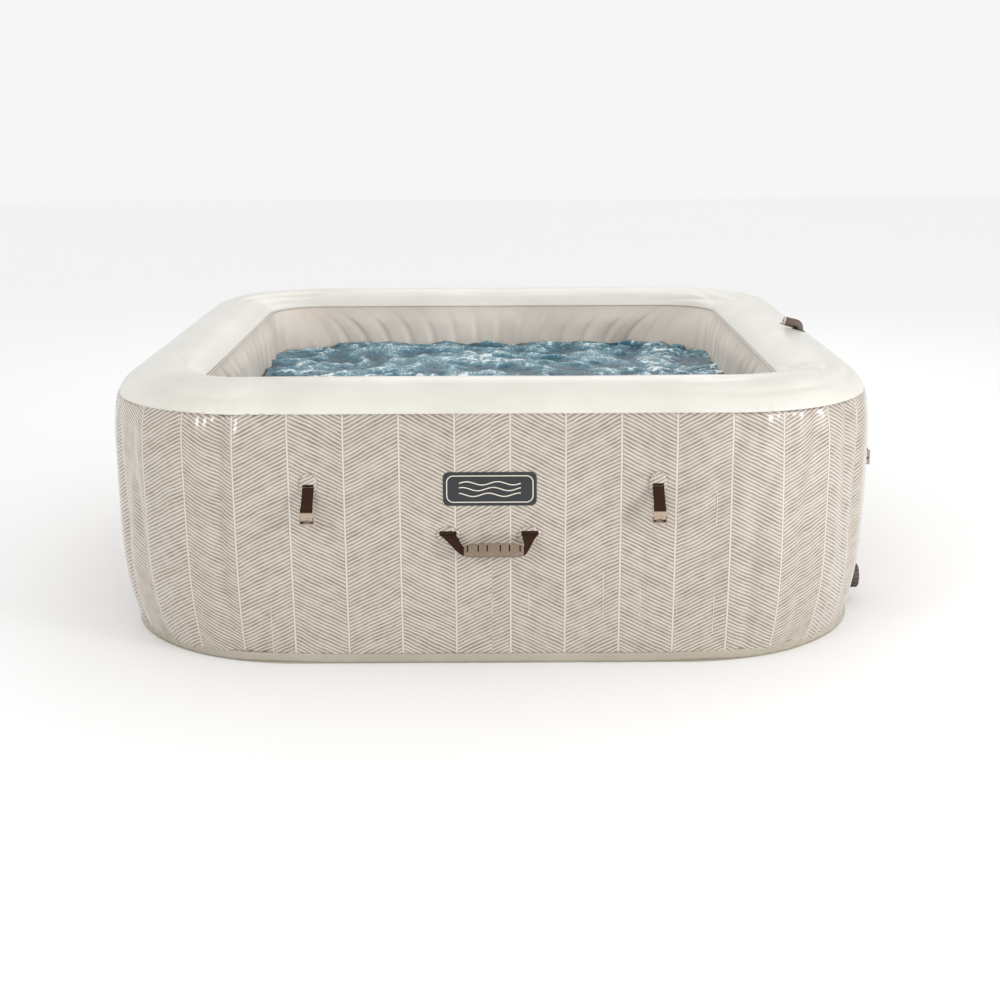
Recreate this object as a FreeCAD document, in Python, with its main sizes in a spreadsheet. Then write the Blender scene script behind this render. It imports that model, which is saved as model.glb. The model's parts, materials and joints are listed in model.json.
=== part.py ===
import FreeCAD, Part
import math
import os

import Sketcher
from FreeCAD import Placement, Rotation, Vector

# Square inflatable hot tub: welded vinyl shell, hose ports, valves, carry handles and cover buckles.
# Millimetres, +Z up. The origin is the middle of the base, on the ground. The hose ports are on +X.
# Pieces on a wall are drawn in that wall's own frame: X along the wall, Y up, Z outwards.

# Driving dimensions: alias, millimetres or degrees, what it is
DRIVING = [
    ("tub_half", 1000, "half of the tub's outside width"),
    ("tub_height", 710, "ground to the crest of the rim"),
    ("corner_radius", 410, "plan radius of the outer corners at the widest height"),
    ("skin", 2, "vinyl sheet thickness"),
    ("seam_height", 640, "height of the weld between wall and rim"),
    ("seam_inset", 16, "how far that weld lies inside the widest line"),
    ("rim_crest_inset", 125, "widest line to the crest of the rim"),
    ("rim_inner_inset", 240, "widest line to the rim's inner edge"),
    ("rim_inner_height", 660, "height of the rim's inner edge"),
    ("band_height", 24, "height of the band round the foot"),
    ("foot_inset", 16, "how far the foot of the wall lies inside the widest line"),
    ("foot_round", 85, "how much rounder in plan the foot is than the widest line"),
    ("pool_half", 733, "half of the water space's width, low down"),
    ("pool_radius", 300, "plan radius of the water space's corners, low down"),
    ("web_pitch", 92, "spacing of the webs inside the wall"),
    ("webs_per_side", 13, "webs along one straight side"),
    ("ring_width", 70, "width of the bubble ring on the floor"),
    ("ring_height", 28, "height of the bubble ring"),
    ("jet_radius", 1.5, "air jet hole"),
    ("port_middle", -92, "middle of the two water ports, along the port side"),
    ("port_spacing", 276, "between the two water ports"),
    ("port_height", 190, "water ports above the ground"),
    ("port_bore", 20, "bore radius of a water port"),
    ("flange_radius", 45, "flange of a water port"),
    ("air_along", -110, "air inlet, along the port side"),
    ("air_tube", 13, "outer radius of the air inlet elbow"),
    ("air_bore", 8, "bore radius of the air inlet elbow"),
    ("air_inset", 92, "widest line to the foot of the air inlet"),
    ("air_level", 705.3, "foot of the air inlet above the ground"),
    ("air_tilt", 14, "degrees that the air inlet leans outwards, square to the rim"),
    ("air_arm", 46, "foot of the air inlet to the end of its arm"),
    ("air_rise", 15.4, "arm of the air inlet above its foot"),
    ("drain_along", -506, "drain valve, along the port side"),
    ("drain_height", 70, "drain valve above the ground"),
    ("drain_reach", 288, "widest line to the drain's inner grille"),
    ("valve_along", 322, "inflation valve, along the port side"),
    ("valve_height", 540, "inflation valve above the ground"),
    ("strap_along", 426, "cover straps, each side of their middle"),
    ("strap_shift", -20, "middle of a wall's two straps, from the wall's own middle"),
    ("strap_height", 462, "where a cover strap leaves the wall"),
    ("strap_width", 28, "cover strap webbing"),
    ("strap_length", 62, "wall to the buckle's bar"),
    ("strap_lift", 45, "degrees that a strap stands off the wall"),
    ("strap_gauge", 1.6, "webbing thickness"),
    ("buckle_width", 36, "socket buckle"),
    ("buckle_length", 38, "bar to the mouth of a socket buckle"),
    ("buckle_depth", 13, "socket buckle, front to back"),
    ("hinge_out", 3.4, "a strap's bending line, clear of the wall"),
    ("handle_height", 340, "where a handle's webbing leaves the wall"),
    ("handle_length", 46, "wall to the middle of the grip"),
    ("handle_lift", 50, "degrees that a handle stands off the wall"),
    ("handle_shift", -7, "middle of a handle's webbing, from the wall's own middle"),
    ("grip_shift", 12, "middle of the grip, from the middle of its webbing"),
    ("grip_width", 146, "moulded grip"),
    ("grip_height", 35, "moulded grip"),
    ("grip_depth", 18, "moulded grip"),
    ("badge_width", 228, "plain badge"),
    ("badge_height", 84, "plain badge"),
    ("badge_along", -4, "plain badge, along the front"),
    ("badge_level", 457, "middle of the plain badge above the ground"),
]

SIDES = ["front", "right", "back", "left"]  # in the order of turns of 90 degrees about +Z
PORT_SIDE = 1


class Size:
    """A length or angle: its number, and the sheet expression that gives it."""

    def __init__(self, value, text=None):
        self.value = float(value)
        self.text = text if text is not None else repr(float(value))

    def _with(self, other, sign, value):
        other = other if isinstance(other, Size) else Size(other)
        return Size(value, "(%s %s %s)" % (self.text, sign, other.text))

    def __add__(self, other):
        return self._with(other, "+", self.value + float(other))

    def __sub__(self, other):
        return self._with(other, "-", self.value - float(other))

    def __mul__(self, other):
        return self._with(other, "*", self.value * float(other))

    def __truediv__(self, other):
        return self._with(other, "/", self.value / float(other))

    def __neg__(self):
        return self * -1

    def __float__(self):
        return self.value


doc = FreeCAD.newDocument("hot_tub")
sheet = doc.addObject("Spreadsheet::Sheet", "dims")
size = {}
for row, (alias, number, note) in enumerate(DRIVING, start=1):
    sheet.set("A%d" % row, note)
    sheet.set("B%d" % row, str(number))
    sheet.setAlias("B%d" % row, alias)
    size[alias] = Size(number, "dims." + alias)
doc.recompute()

parts = []  # every sub-part, in the order made


# ---------------------------------------------------------------- drawing helpers
def as_size(value):
    return value if isinstance(value, Size) else Size(value)


def bind(owner, name, value):
    """Sets a property or a named constraint from the sheet."""
    value = as_size(value)
    if "dims." in value.text:
        owner.setExpression(name, value.text)
    return value.value


def body(label, place=None):
    """A sub-part: a body that may hold several solids, put in place by its Placement."""
    made = doc.addObject("PartDesign::Body", label)
    made.Label = label
    made.AllowCompound = True
    if place is not None:
        made.Placement = place
    parts.append(made)
    return made


def origin_feature(made, role):
    return next(f for f in made.Origin.OriginFeatures if f.Role == role)


def sketch(made, plane="XY", offset=0):
    """An empty sketch on one of the body's origin planes, offset along the plane's normal."""
    drawn = made.newObject("Sketcher::SketchObject", "Sketch")
    drawn.AttachmentSupport = [(origin_feature(made, plane + "_Plane"), "")]
    drawn.MapMode = "FlatFace"
    offset = as_size(offset)
    drawn.AttachmentOffset = Placement(Vector(0, 0, offset.value), Rotation())
    bind(drawn, "AttachmentOffset.Base.z", offset)
    return drawn


def pin_point(drawn, element, end, x, y, label):
    """Holds a point at a distance from the sketch's origin, from the sheet."""
    for axis, value, wall in (("X", as_size(x), -2), ("Y", as_size(y), -1)):
        if abs(value.value) < 1e-9:
            drawn.addConstraint(Sketcher.Constraint("PointOnObject", element, end, wall))
            continue
        pair = (-1, 1, element, end) if value.value > 0 else (element, end, -1, 1)
        number = drawn.addConstraint(Sketcher.Constraint("Distance" + axis, *pair, abs(value.value)))
        drawn.renameConstraint(number, label + axis.lower())
        bind(drawn, "Constraints." + label + axis.lower(), value if value.value > 0 else -value)


def outline(drawn, points, tag="p"):
    """A closed outline. Each point is (x, y) for a straight run to the next point,
    or (x, y, radius, turn) for an arc to it: turn 1 is anticlockwise, -1 clockwise."""
    corners = [(as_size(p[0]), as_size(p[1])) for p in points]
    ends = []
    for k, p in enumerate(points):
        start = Vector(corners[k][0].value, corners[k][1].value)
        nxt = corners[(k + 1) % len(points)]
        stop = Vector(nxt[0].value, nxt[1].value)
        if len(p) == 2:
            element = drawn.addGeometry(Part.LineSegment(start, stop))
            ends.append((element, 1, 2))
            continue
        radius, turn = as_size(p[2]), p[3]
        chord = stop - start
        rise = math.sqrt(max(radius.value**2 - (chord.Length / 2) ** 2, 0))
        side = Vector(-chord.y, chord.x, 0).normalize() * turn
        centre = (start + stop) * 0.5 + side * rise
        first, last = (start, stop) if turn > 0 else (stop, start)
        angle = [math.atan2(v.y - centre.y, v.x - centre.x) for v in (first, last)]
        circle = Part.Circle(centre, Vector(0, 0, 1), radius.value)
        element = drawn.addGeometry(Part.ArcOfCircle(circle, angle[0], angle[1]))
        ends.append((element, 1, 2) if turn > 0 else (element, 2, 1))
        number = drawn.addConstraint(Sketcher.Constraint("Radius", element, radius.value))
        drawn.renameConstraint(number, "%s%dr" % (tag, k))
        bind(drawn, "Constraints.%s%dr" % (tag, k), radius)
    for k, (element, begin, _) in enumerate(ends):
        before, _, finish = ends[k - 1]
        drawn.addConstraint(Sketcher.Constraint("Coincident", before, finish, element, begin))
        pin_point(drawn, element, begin, corners[k][0], corners[k][1], "%s%d" % (tag, k))
    return drawn


def rectangle(drawn, x0, x1, y0, y1, tag="p"):
    return outline(drawn, [(x0, y0), (x1, y0), (x1, y1), (x0, y1)], tag)


def rounded_square(drawn, half, radius, tag="p"):
    """A square with round corners, about the sketch's origin."""
    half, radius = as_size(half), as_size(radius)
    flat = half - radius
    points = [
        (-flat, -half), (flat, -half, radius, 1), (half, -flat), (half, flat, radius, 1),
        (flat, half), (-flat, half, radius, 1), (-half, flat), (-half, -flat, radius, 1),
    ]
    return outline(drawn, points, tag)


def circle(drawn, x, y, radius, tag="c"):
    x, y, radius = as_size(x), as_size(y), as_size(radius)
    element = drawn.addGeometry(
        Part.Circle(Vector(x.value, y.value, 0), Vector(0, 0, 1), radius.value)
    )
    number = drawn.addConstraint(Sketcher.Constraint("Radius", element, radius.value))
    drawn.renameConstraint(number, tag + "r")
    bind(drawn, "Constraints." + tag + "r", radius)
    pin_point(drawn, element, 3, x, y, tag)
    return drawn


# ---------------------------------------------------------------- feature helpers
def pad(made, drawn, length, midplane=False, reverse=False):
    feature = made.newObject("PartDesign::Pad", "Pad")
    feature.Profile = drawn
    feature.Length = bind(feature, "Length", length)
    if midplane:
        feature.SideType = "Symmetric"
    feature.Reversed = reverse
    return feature


def pocket(made, drawn, length, midplane=True, reverse=False):
    """Cuts with a sketch, both ways from its plane unless midplane is off. It has to cut something."""
    doc.recompute()
    before = made.Shape.Volume
    feature = made.newObject("PartDesign::Pocket", "Pocket")
    feature.Profile = drawn
    feature.Length = bind(feature, "Length", length)
    if midplane:
        feature.SideType = "Symmetric"
    feature.Reversed = reverse
    doc.recompute()
    if made.Shape.Volume > before - 1e-3:
        raise SystemExit("a pocket in %s cuts nothing" % made.Label)
    return feature


def revolve(made, drawn, axis="V_Axis"):
    feature = made.newObject("PartDesign::Revolution", "Revolution")
    feature.Profile = drawn
    feature.ReferenceAxis = (drawn, [axis])
    feature.Angle = 360
    return feature


def loft(made, drawn, subtract=False):
    """A smooth skin through sketches, added or cut away."""
    kind = "PartDesign::SubtractiveLoft" if subtract else "PartDesign::AdditiveLoft"
    feature = made.newObject(kind, "Loft")
    feature.Profile = drawn[0]
    feature.Sections = drawn[1:]
    feature.Ruled = False
    return feature


def sweep(made, drawn, path, subtract=False):
    """Carries a section along a path, added or cut away."""
    kind = "PartDesign::SubtractivePipe" if subtract else "PartDesign::AdditivePipe"
    feature = made.newObject(kind, "Sweep")
    feature.Profile = drawn
    feature.Spine = (path, ["Edge%d" % (k + 1) for k in range(path.GeometryCount)])
    return feature


def bent_path(drawn, corners, radii):
    """Straight runs through corners in the sketch, joined by a tangent arc of its own radius at each."""
    spots = [corners[0]]
    for before, corner, after, radius in zip(corners, corners[1:], corners[2:], radii):
        back = (before - corner).normalize()
        ahead = (after - corner).normalize()
        reach = radius / math.tan(back.getAngle(ahead) / 2)
        middle = (back + ahead).normalize()
        centre = corner + middle * math.hypot(radius, reach)
        spots += [corner + back * reach, centre - middle * radius, corner + ahead * reach]
    spots.append(corners[-1])
    for k in range(0, len(spots) - 1, 3):
        if (spots[k + 1] - spots[k]).Length > 1e-6:
            drawn.addGeometry(Part.LineSegment(spots[k], spots[k + 1]))
        if k + 3 < len(spots):
            drawn.addGeometry(Part.Arc(spots[k + 1], spots[k + 2], spots[k + 3]))
    return drawn


def linear(role, length, count, made):
    step = doc.addObject("PartDesign::LinearPattern", "Step")
    step.Direction = (origin_feature(made, role), [""])
    step.Length = bind(step, "Length", length)
    step.Occurrences = int(bind(step, "Occurrences", count))
    return step


def polar(role, count, made):
    step = doc.addObject("PartDesign::PolarPattern", "Turn")
    step.Axis = (origin_feature(made, role), [""])
    step.Angle = 360
    step.Occurrences = count
    return step


def pattern(made, feature, steps):
    """Repeats a feature through several pattern steps."""
    many = made.newObject("PartDesign::MultiTransform", "Pattern")
    many.Originals = [feature]
    many.Transformations = steps
    made.Tip = many
    return many


# ---------------------------------------------------------------- places on the walls
def on_wall(side, along, height):
    """The frame of a wall: X along it, Y up, Z outwards, with its origin on the widest line."""
    upright = Placement(Vector(), Rotation(Vector(1, 0, 0), 90))
    out = Placement(Vector(float(along), -size["tub_half"].value, float(height)), Rotation())
    turn = Placement(Vector(), Rotation(Vector(0, 0, 1), 90 * side))
    return turn * out * upright


def lifted(place, out, lift):
    """A frame hinged off a wall frame: moved out, then tilted up by lift degrees."""
    return place * Placement(Vector(0, 0, float(out)), Rotation(Vector(1, 0, 0), -float(lift)))


# ---------------------------------------------------------------- the welded shell
def wall_sections(inset):
    """Height, half width and corner radius of the wall's outside, moved in by inset."""
    half, corner = size["tub_half"], size["corner_radius"]
    rows = [
        (size["skin"], size["foot_inset"], size["foot_round"]),
        (size["seam_height"] * 0.22, 2, size["foot_round"] * 0.25),
        (size["seam_height"] * 0.62, 0, 0),
        (size["seam_height"] * 0.88, 5, -5),
        (size["seam_height"], size["seam_inset"], -16),
    ]
    return [(z, half - n - inset, corner + r - inset) for z, n, r in rows]


def pool_sections(inset):
    """The same for the water space: wide at the rim, narrower and rounder below the water line."""
    half, corner = size["pool_half"], size["pool_radius"]
    rim_half = size["tub_half"] - size["rim_inner_inset"]
    rim_corner = size["corner_radius"] - size["rim_inner_inset"]
    rows = [
        (size["skin"], half, corner),
        (size["seam_height"] * 0.4, half - 3, corner),
        (size["seam_height"] * 0.8, half + 2, corner - 20),
        (size["rim_inner_height"], rim_half, rim_corner),
    ]
    return [(z, h + inset, r + inset) for z, h, r in rows]


def ring_loft(made, outer, inner):
    """A ring wall between two sets of sections."""
    loft(made, [rounded_square(sketch(made, "XY", z), h, r) for z, h, r in outer])
    loft(made, [rounded_square(sketch(made, "XY", z), h, r) for z, h, r in inner], subtract=True)
    return made


def port_holes(made, x, holes):
    """Cuts round holes through the wall on the port side: holes are (along, height, radius)."""
    drawn = sketch(made, "YZ", x)
    for k, (along, height, radius) in enumerate(holes):
        circle(drawn, along, height, radius, "hole%d" % k)
    pocket(made, drawn, 120)


hose_low = 18.0  # the riser hose where it enters the pool, above the ground
port_low = size["port_middle"] - size["port_spacing"] / 2
port_high = size["port_middle"] + size["port_spacing"] / 2

outer_wall = ring_loft(body("outer_wall"), wall_sections(0), wall_sections(size["skin"]))
port_holes(
    outer_wall,
    size["tub_half"],
    [
        (port_low, size["port_height"], 24),
        (port_high, size["port_height"], 24),
        (size["drain_along"], size["drain_height"], 38.4),
        (size["valve_along"], size["valve_height"], 30.4),
    ],
)



def pool_wall(label):
    """The water space's wall, all the way round."""
    made = ring_loft(body(label), pool_sections(size["skin"]), pool_sections(0))
    holes = [
        (port_low, size["port_height"], 24),
        (port_high, size["port_height"], 24),
        (size["drain_along"], size["drain_height"], 20.6),
        (size["air_along"], hose_low, 12.8),
    ]
    port_holes(made, size["pool_half"], holes)
    return made


# The pool wall is welded up from four side panels and four corner panels, edge to edge
panel_end = size["pool_half"] - size["pool_radius"]
beyond = size["tub_half"]
inner_sides = pool_wall("inner_wall_sides")
corners_away = sketch(inner_sides, "XY")
for k, (x, y) in enumerate([(1, 1), (-1, 1), (-1, -1), (1, -1)]):
    spans = [sorted([panel_end * way, beyond * way], key=float) for way in (x, y)]
    rectangle(corners_away, *spans[0], *spans[1], "corner%d" % k)
pocket(inner_sides, corners_away, size["tub_height"] * 2)

inner_corners = pool_wall("inner_wall_corners")
for spans in ([-beyond, beyond, -panel_end, panel_end], [-panel_end, panel_end, -beyond, beyond]):
    sides_away = rectangle(sketch(inner_corners, "XY"), *spans)
    pocket(inner_corners, sides_away, size["tub_height"] * 2)


def rim_profile(made):
    """The rim's sheet in section, with X measured outwards from the tub's middle."""
    half, gauge = size["tub_half"], size["skin"]
    crest_x, crest_z = half - size["rim_crest_inset"], size["tub_height"]
    seam = (half - size["seam_inset"], size["seam_height"])
    edge = (half - size["rim_inner_inset"], size["rim_inner_height"])
    points = [
        (seam[0], seam[1], 120, 1),
        (crest_x, crest_z, 158, 1),
        (edge[0], edge[1]),
        (edge[0] + gauge, edge[1], 156, -1),
        (crest_x, crest_z - gauge, 118, -1),
        (seam[0] - gauge, seam[1]),
    ]
    return outline(sketch(made, "XZ"), points)


rim = body("rim")
rim_path = rounded_square(sketch(rim, "XY"), size["tub_half"], size["corner_radius"])
sweep(rim, rim_profile(rim), rim_path)
air_x = size["tub_half"] - size["air_inset"]
pocket(rim, circle(sketch(rim, "XY", size["tub_height"]), air_x, size["air_along"], 20.6), 60)

base_sheet = body("base_sheet")
foot_half = size["tub_half"] - size["foot_inset"]
foot_corner = size["corner_radius"] + size["foot_round"]
band_clear = 12.4  # foot of the wall to the inside of the band
band_inner = (foot_half + band_clear, foot_corner + 2)
band_outer = (band_inner[0] + size["skin"], band_inner[1] + size["skin"])
pad(base_sheet, rounded_square(sketch(base_sheet), *band_outer), size["skin"])

base_band = body("base_band")
band = sketch(base_band, "XY", size["skin"])
rounded_square(band, *band_outer, "outer")
rounded_square(band, *band_inner, "inner")
pad(base_band, band, size["band_height"] - size["skin"])

floor_sheet = body("floor_sheet")
floor_plan = sketch(floor_sheet, "XY", size["skin"])
rounded_square(floor_plan, size["pool_half"] - 0.5, size["pool_radius"])
pad(floor_sheet, floor_plan, size["skin"])

inner_seam_bead = body("inner_seam_bead")
bead_half = size["tub_half"] - size["rim_inner_inset"] - 2.3
bead_level = size["rim_inner_height"] + 1.2
bead_path = rounded_square(
    sketch(inner_seam_bead, "XY", bead_level),
    bead_half,
    size["corner_radius"] - size["rim_inner_inset"] - 2.3,
)
bead = circle(sketch(inner_seam_bead, "XZ"), bead_half, bead_level, 2)
sweep(inner_seam_bead, bead, bead_path)

# Webs that hold the inner and outer walls parallel when the wall is full of air
wall_webs = body("wall_webs")
web_run = size["web_pitch"] * (size["webs_per_side"] - 1)
web = outline(
    sketch(wall_webs, "XZ", web_run / 2),
    [
        (size["pool_half"] + 6, 4),
        (size["tub_half"] - 26, 4),
        (size["tub_half"] - 7, size["seam_height"] * 0.22),
        (size["tub_half"] - 6, size["seam_height"] * 0.62),
        (size["tub_half"] - 22, size["seam_height"] - 4),
        (size["tub_half"] - size["rim_inner_inset"] + 12, size["seam_height"] - 4),
        (size["pool_half"] + 8, size["seam_height"] * 0.8),
    ],
)
one_web = pad(wall_webs, web, size["skin"] * 0.6, midplane=True)
doc.recompute()
pattern(
    wall_webs,
    one_web,
    [linear("Y_Axis", web_run, size["webs_per_side"], wall_webs), polar("Z_Axis", 4, wall_webs)],
)

# Flat air channel on the floor, with jets along each side
bubble_ring = body("bubble_ring")
ring_out = size["pool_half"] - 12
ring_corner = size["pool_radius"] - 12
ring_path = rounded_square(sketch(bubble_ring, "XY", size["skin"] * 2), ring_out, ring_corner)
ring_floor = size["skin"] * 2 + 0.1
ring_in = ring_out - size["ring_width"]
duct = sketch(bubble_ring, "XZ")
top = ring_floor + size["ring_height"]
outline(duct, [(ring_in, ring_floor), (ring_out, ring_floor), (ring_out, top), (ring_in + 16, top)])
sweep(bubble_ring, duct, ring_path)
doc.recompute()
air_way = outline(
    sketch(bubble_ring, "XZ"),
    [
        (ring_in + 5, ring_floor + size["skin"]), (ring_out - size["skin"], ring_floor + size["skin"]),
        (ring_out - size["skin"], top - size["skin"]), (ring_in + 17, top - size["skin"]),
    ],
)
sweep(bubble_ring, air_way, ring_path, subtract=True)
doc.recompute()
jet_run = size["web_pitch"] * 8
jet = circle(
    sketch(bubble_ring, "XY", top), ring_out - size["ring_width"] / 3, -(jet_run / 2), size["jet_radius"]
)
one_jet = pocket(bubble_ring, jet, 10)
pattern(
    bubble_ring,
    one_jet,
    [linear("Y_Axis", jet_run, 17, bubble_ring), polar("Z_Axis", 4, bubble_ring)],
)
doc.recompute()
feed = circle(sketch(bubble_ring, "YZ", ring_out), size["air_along"], hose_low, 10.2)
pocket(bubble_ring, feed, 12)


# ---------------------------------------------------------------- turned parts on the walls
def turned(label, place, points):
    """A body of revolution about the wall frame's outward axis: points are (radius, out)."""
    made = body(label, place)
    revolve(made, outline(sketch(made, "XZ"), points))
    return made


def ring_points(inner, outer, low, high):
    return [(inner, low), (outer, low), (outer, high), (inner, high)]


def notches(made, radius, width, low, high, count, depth=4):
    """Cuts a ring of axial notches into a turned part."""
    doc.recompute()
    drawn = sketch(made, "XY", low)
    rectangle(drawn, radius - depth, radius + depth, -width / 2, width / 2)
    one = pocket(made, drawn, high - low, midplane=False, reverse=True)
    pattern(made, one, [polar("Z_Axis", count, made)])


# ---------------------------------------------------------------- air inlet on the rim
foot = Vector(air_x.value, size["air_along"].value, size["air_level"].value)
lean = Rotation(Vector(0, 1, 0), size["air_tilt"].value)
air_place = Placement(foot, lean)  # X across the rim, Z square to it

turned("air_inlet_flange", air_place, ring_points(10.4, 20, -3, 1))

air_elbow = body("air_inlet_elbow", air_place)
elbow_foot = 1.4
rise, arm = size["air_rise"], size["air_arm"]
elbow_path = bent_path(
    sketch(air_elbow, "XZ"),
    [Vector(0, elbow_foot), Vector(0, rise.value), Vector(-arm.value, rise.value)],
    [rise.value - elbow_foot],
)
elbow_ring = circle(sketch(air_elbow, "XY", elbow_foot), 0, 0, size["air_tube"], "outer")
circle(elbow_ring, 0, 0, size["air_bore"], "bore")
sweep(air_elbow, elbow_ring, elbow_path)
doc.recompute()
stub_drop = 24  # spigot below the elbow, for the riser hose
stub = circle(sketch(air_elbow, "XY", elbow_foot), 0, 0, 10, "outer")
circle(stub, 0, 0, size["air_bore"], "bore")
pad(air_elbow, stub, stub_drop, reverse=True)

arm_end = Placement(Vector(-arm.value, 0, rise.value), Rotation(Vector(0, 1, 0), -90))
air_cap = turned(
    "air_inlet_end_cap",
    air_place * arm_end,
    [(0, -12), (7.7, -12), (7.7, 0.4), (13, 0.4), (13, 4), (12, 5), (4, 5), (4, 1), (0, 1)],
)
doc.recompute()
cap_tab = sketch(air_cap, "XY", 4)
rectangle(cap_tab, -12, -8.5, -3, 3)
pad(air_cap, cap_tab, 9)

riser = body("air_riser_hose", air_place)
riser_top = -9
bend_spot = Vector(0, 0, -40)
low_corner = air_place.multVec(bend_spot)
low_corner.z = hose_low
ring_port = Vector(size["pool_half"].value - 11.8, foot.y, hose_low)
to_local = air_place.inverse()
route = [Vector(0, 0, riser_top), bend_spot, to_local.multVec(low_corner), to_local.multVec(ring_port)]
riser_path = bent_path(sketch(riser, "XZ"), [Vector(v.x, v.z) for v in route], [80, 60])
riser_ring = circle(sketch(riser, "XY", riser_top), 0, 0, 12.5, "outer")
circle(riser_ring, 0, 0, 10.05, "bore")
sweep(riser, riser_ring, riser_path)


# ---------------------------------------------------------------- hose ports, drain, inflation valve
wall_lean = 2.6  # the water space is this much narrower at the ports than at the floor
pool_depth = size["tub_half"] - size["pool_half"] + wall_lean  # wall face to the water space


def water_port(name, along):
    """One hose port: threaded fitting, gasket, pipe through the air space, inner flange, strainer."""
    place = on_wall(PORT_SIDE, along, size["port_height"])
    bore, flange, deep = size["port_bore"], size["flange_radius"], pool_depth
    threads = []
    for k in range(4):
        low = 10 + 5 * k
        threads += [(24.5, low), (27, low + 1.5), (27, low + 2.5), (24.5, low + 4)]
    fitting = turned(
        name + "_fitting",
        place,
        [(bore, -34), (bore + 2, -34), (bore + 2, 2), (flange - 2, 2), (flange, 3), (flange, 6), (flange - 2, 7),
         (24.5, 7)] + threads + [(24.5, 37), (23.5, 38), (bore, 38)],
    )
    notches(fitting, flange.value, 8, 2, 8, 4, 3)
    turned(name + "_gasket", place, ring_points(bore + 3, flange - 3, 0.1, 1.9))
    turned(name + "_pipe", place, ring_points(bore + 2.05, bore + 4.5, -deep + 3.5, -4))
    turned(
        name + "_inner_flange",
        place,
        [(bore - 1.5, -deep + 34), (bore + 2, -deep + 34), (bore + 2, -deep - 0.2), (flange - 5, -deep - 0.2),
         (flange - 5, -deep - 4), (29, -deep - 4), (29, -deep - 14), (bore - 1.5, -deep - 14)],
    )
    strainer = turned(
        name + "_strainer",
        place,
        [(29.3, -deep - 4.4), (34, -deep - 4.4), (34, -deep - 22), (28, -deep - 29), (0, -deep - 31),
         (0, -deep - 28.5), (27, -deep - 26.5), (29.3, -deep - 21)],
    )
    doc.recompute()
    slots = sketch(strainer, "XY", -deep - 36)
    rectangle(slots, 7, 25, -1.5, 1.5)
    slot = pocket(strainer, slots, 16, midplane=False, reverse=True)
    pattern(strainer, slot, [polar("Z_Axis", 12, strainer)])


water_port("water_outlet", port_low)
water_port("water_inlet", port_high)

drain_place = on_wall(PORT_SIDE, size["drain_along"], size["drain_height"])
turned(
    "drain_body",
    drain_place,
    [(17, -34), (20, -34), (20, -22), (38, -22), (38, 3), (36, 5), (26, 5), (26, 17), (25, 18), (17, 18)],
)
turned("drain_gasket", drain_place, ring_points(10, 25, 18.1, 20.1))
drain_cap = turned(
    "drain_cap",
    drain_place,
    [(26.3, 6), (33, 6), (34, 7), (34, 23), (31, 26), (12, 26), (11, 30), (0, 30), (0, 20.3), (26.3, 20.3)],
)
notches(drain_cap, 34, 5, 5, 24, 18, 1.6)
drain_deep = size["drain_reach"]
turned("drain_pipe", drain_place, ring_points(17, 19.9, -drain_deep + 3.5, -34.2))
drain_grille = turned(
    "drain_inner_grille",
    drain_place,
    [(14, -drain_deep + 26), (16.9, -drain_deep + 26), (16.9, -drain_deep - 0.2), (33, -drain_deep - 0.2),
     (33, -drain_deep - 4), (0, -drain_deep - 4), (0, -drain_deep - 1), (14, -drain_deep - 1)],
)
doc.recompute()
grille_hole = circle(sketch(drain_grille, "XY", -drain_deep - 6), 9, 0, 2)
hole = pocket(drain_grille, grille_hole, 8, midplane=False, reverse=True)
pattern(drain_grille, hole, [polar("Z_Axis", 8, drain_grille)])

valve_place = on_wall(PORT_SIDE, size["valve_along"], size["valve_height"])
cap_hinge_y, cap_hinge_z = 33.5, 4.6  # the cap's hinge, above the valve and off the wall
valve_base = turned(
    "inflation_valve_base",
    valve_place,
    [(18, -19), (30, -19), (30, 0), (28.5, 2), (18, 2)],
)
doc.recompute()
lugs = sketch(valve_base, "YZ")
rectangle(lugs, 26, cap_hinge_y + 2.6, -2, 1.4, "foot")
pad(valve_base, lugs, 18, midplane=True)
doc.recompute()
cheeks = sketch(valve_base, "YZ")
outline(
    cheeks,
    [(cap_hinge_y - 2.8, 1), (cap_hinge_y + 2.6, 1), (cap_hinge_y + 2.6, cap_hinge_z + 2.6),
     (cap_hinge_y - 2.8, cap_hinge_z + 2.6)],
)
pad(valve_base, cheeks, 18, midplane=True)
gap = sketch(valve_base, "YZ")
rectangle(gap, cap_hinge_y - 4, cap_hinge_y + 4, 1.4, cap_hinge_z + 4)
pocket(valve_base, gap, 8.8)
pin = circle(sketch(valve_base, "YZ"), cap_hinge_y, cap_hinge_z, 1.2)
pad(valve_base, pin, 17, midplane=True)
valve_guide = body("inflation_valve_guide", valve_place)
spider = sketch(valve_guide, "XY", -19)
circle(spider, 0, 0, 17.9, "rim")
circle(spider, 0, 0, 12, "way")
pad(valve_guide, spider, 6)
hub = sketch(valve_guide, "XY", -19)
circle(hub, 0, 0, 5.5, "hub")
circle(hub, 0, 0, 3.06, "bore")
pad(valve_guide, hub, 6)
doc.recompute()
spoke_plan = sketch(valve_guide, "XY", -19)
rectangle(spoke_plan, 4.6, 13, -1.2, 1.2)
spoke = pad(valve_guide, spoke_plan, 6)
doc.recompute()
pattern(valve_guide, spoke, [polar("Z_Axis", 3, valve_guide)])
turned("inflation_valve_spring_seat", valve_place, ring_points(3.0, 7.5, -2.9, -1.6))
valve_stem = turned(
    "inflation_valve_stem",
    valve_place,
    [(0, -26), (10, -26), (14.5, -23), (14.5, -19.4), (10, -19.2), (3, -19.2), (3, -0.8), (2, 0.2), (0, 0.2)],
)
valve_spring = body("inflation_valve_spring", valve_place)
wire = circle(sketch(valve_spring, "XZ"), 4.4, -12.3, 0.5)
coil = valve_spring.newObject("PartDesign::AdditiveHelix", "Coil")
coil.Profile = wire
coil.ReferenceAxis = (wire, ["V_Axis"])
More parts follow.
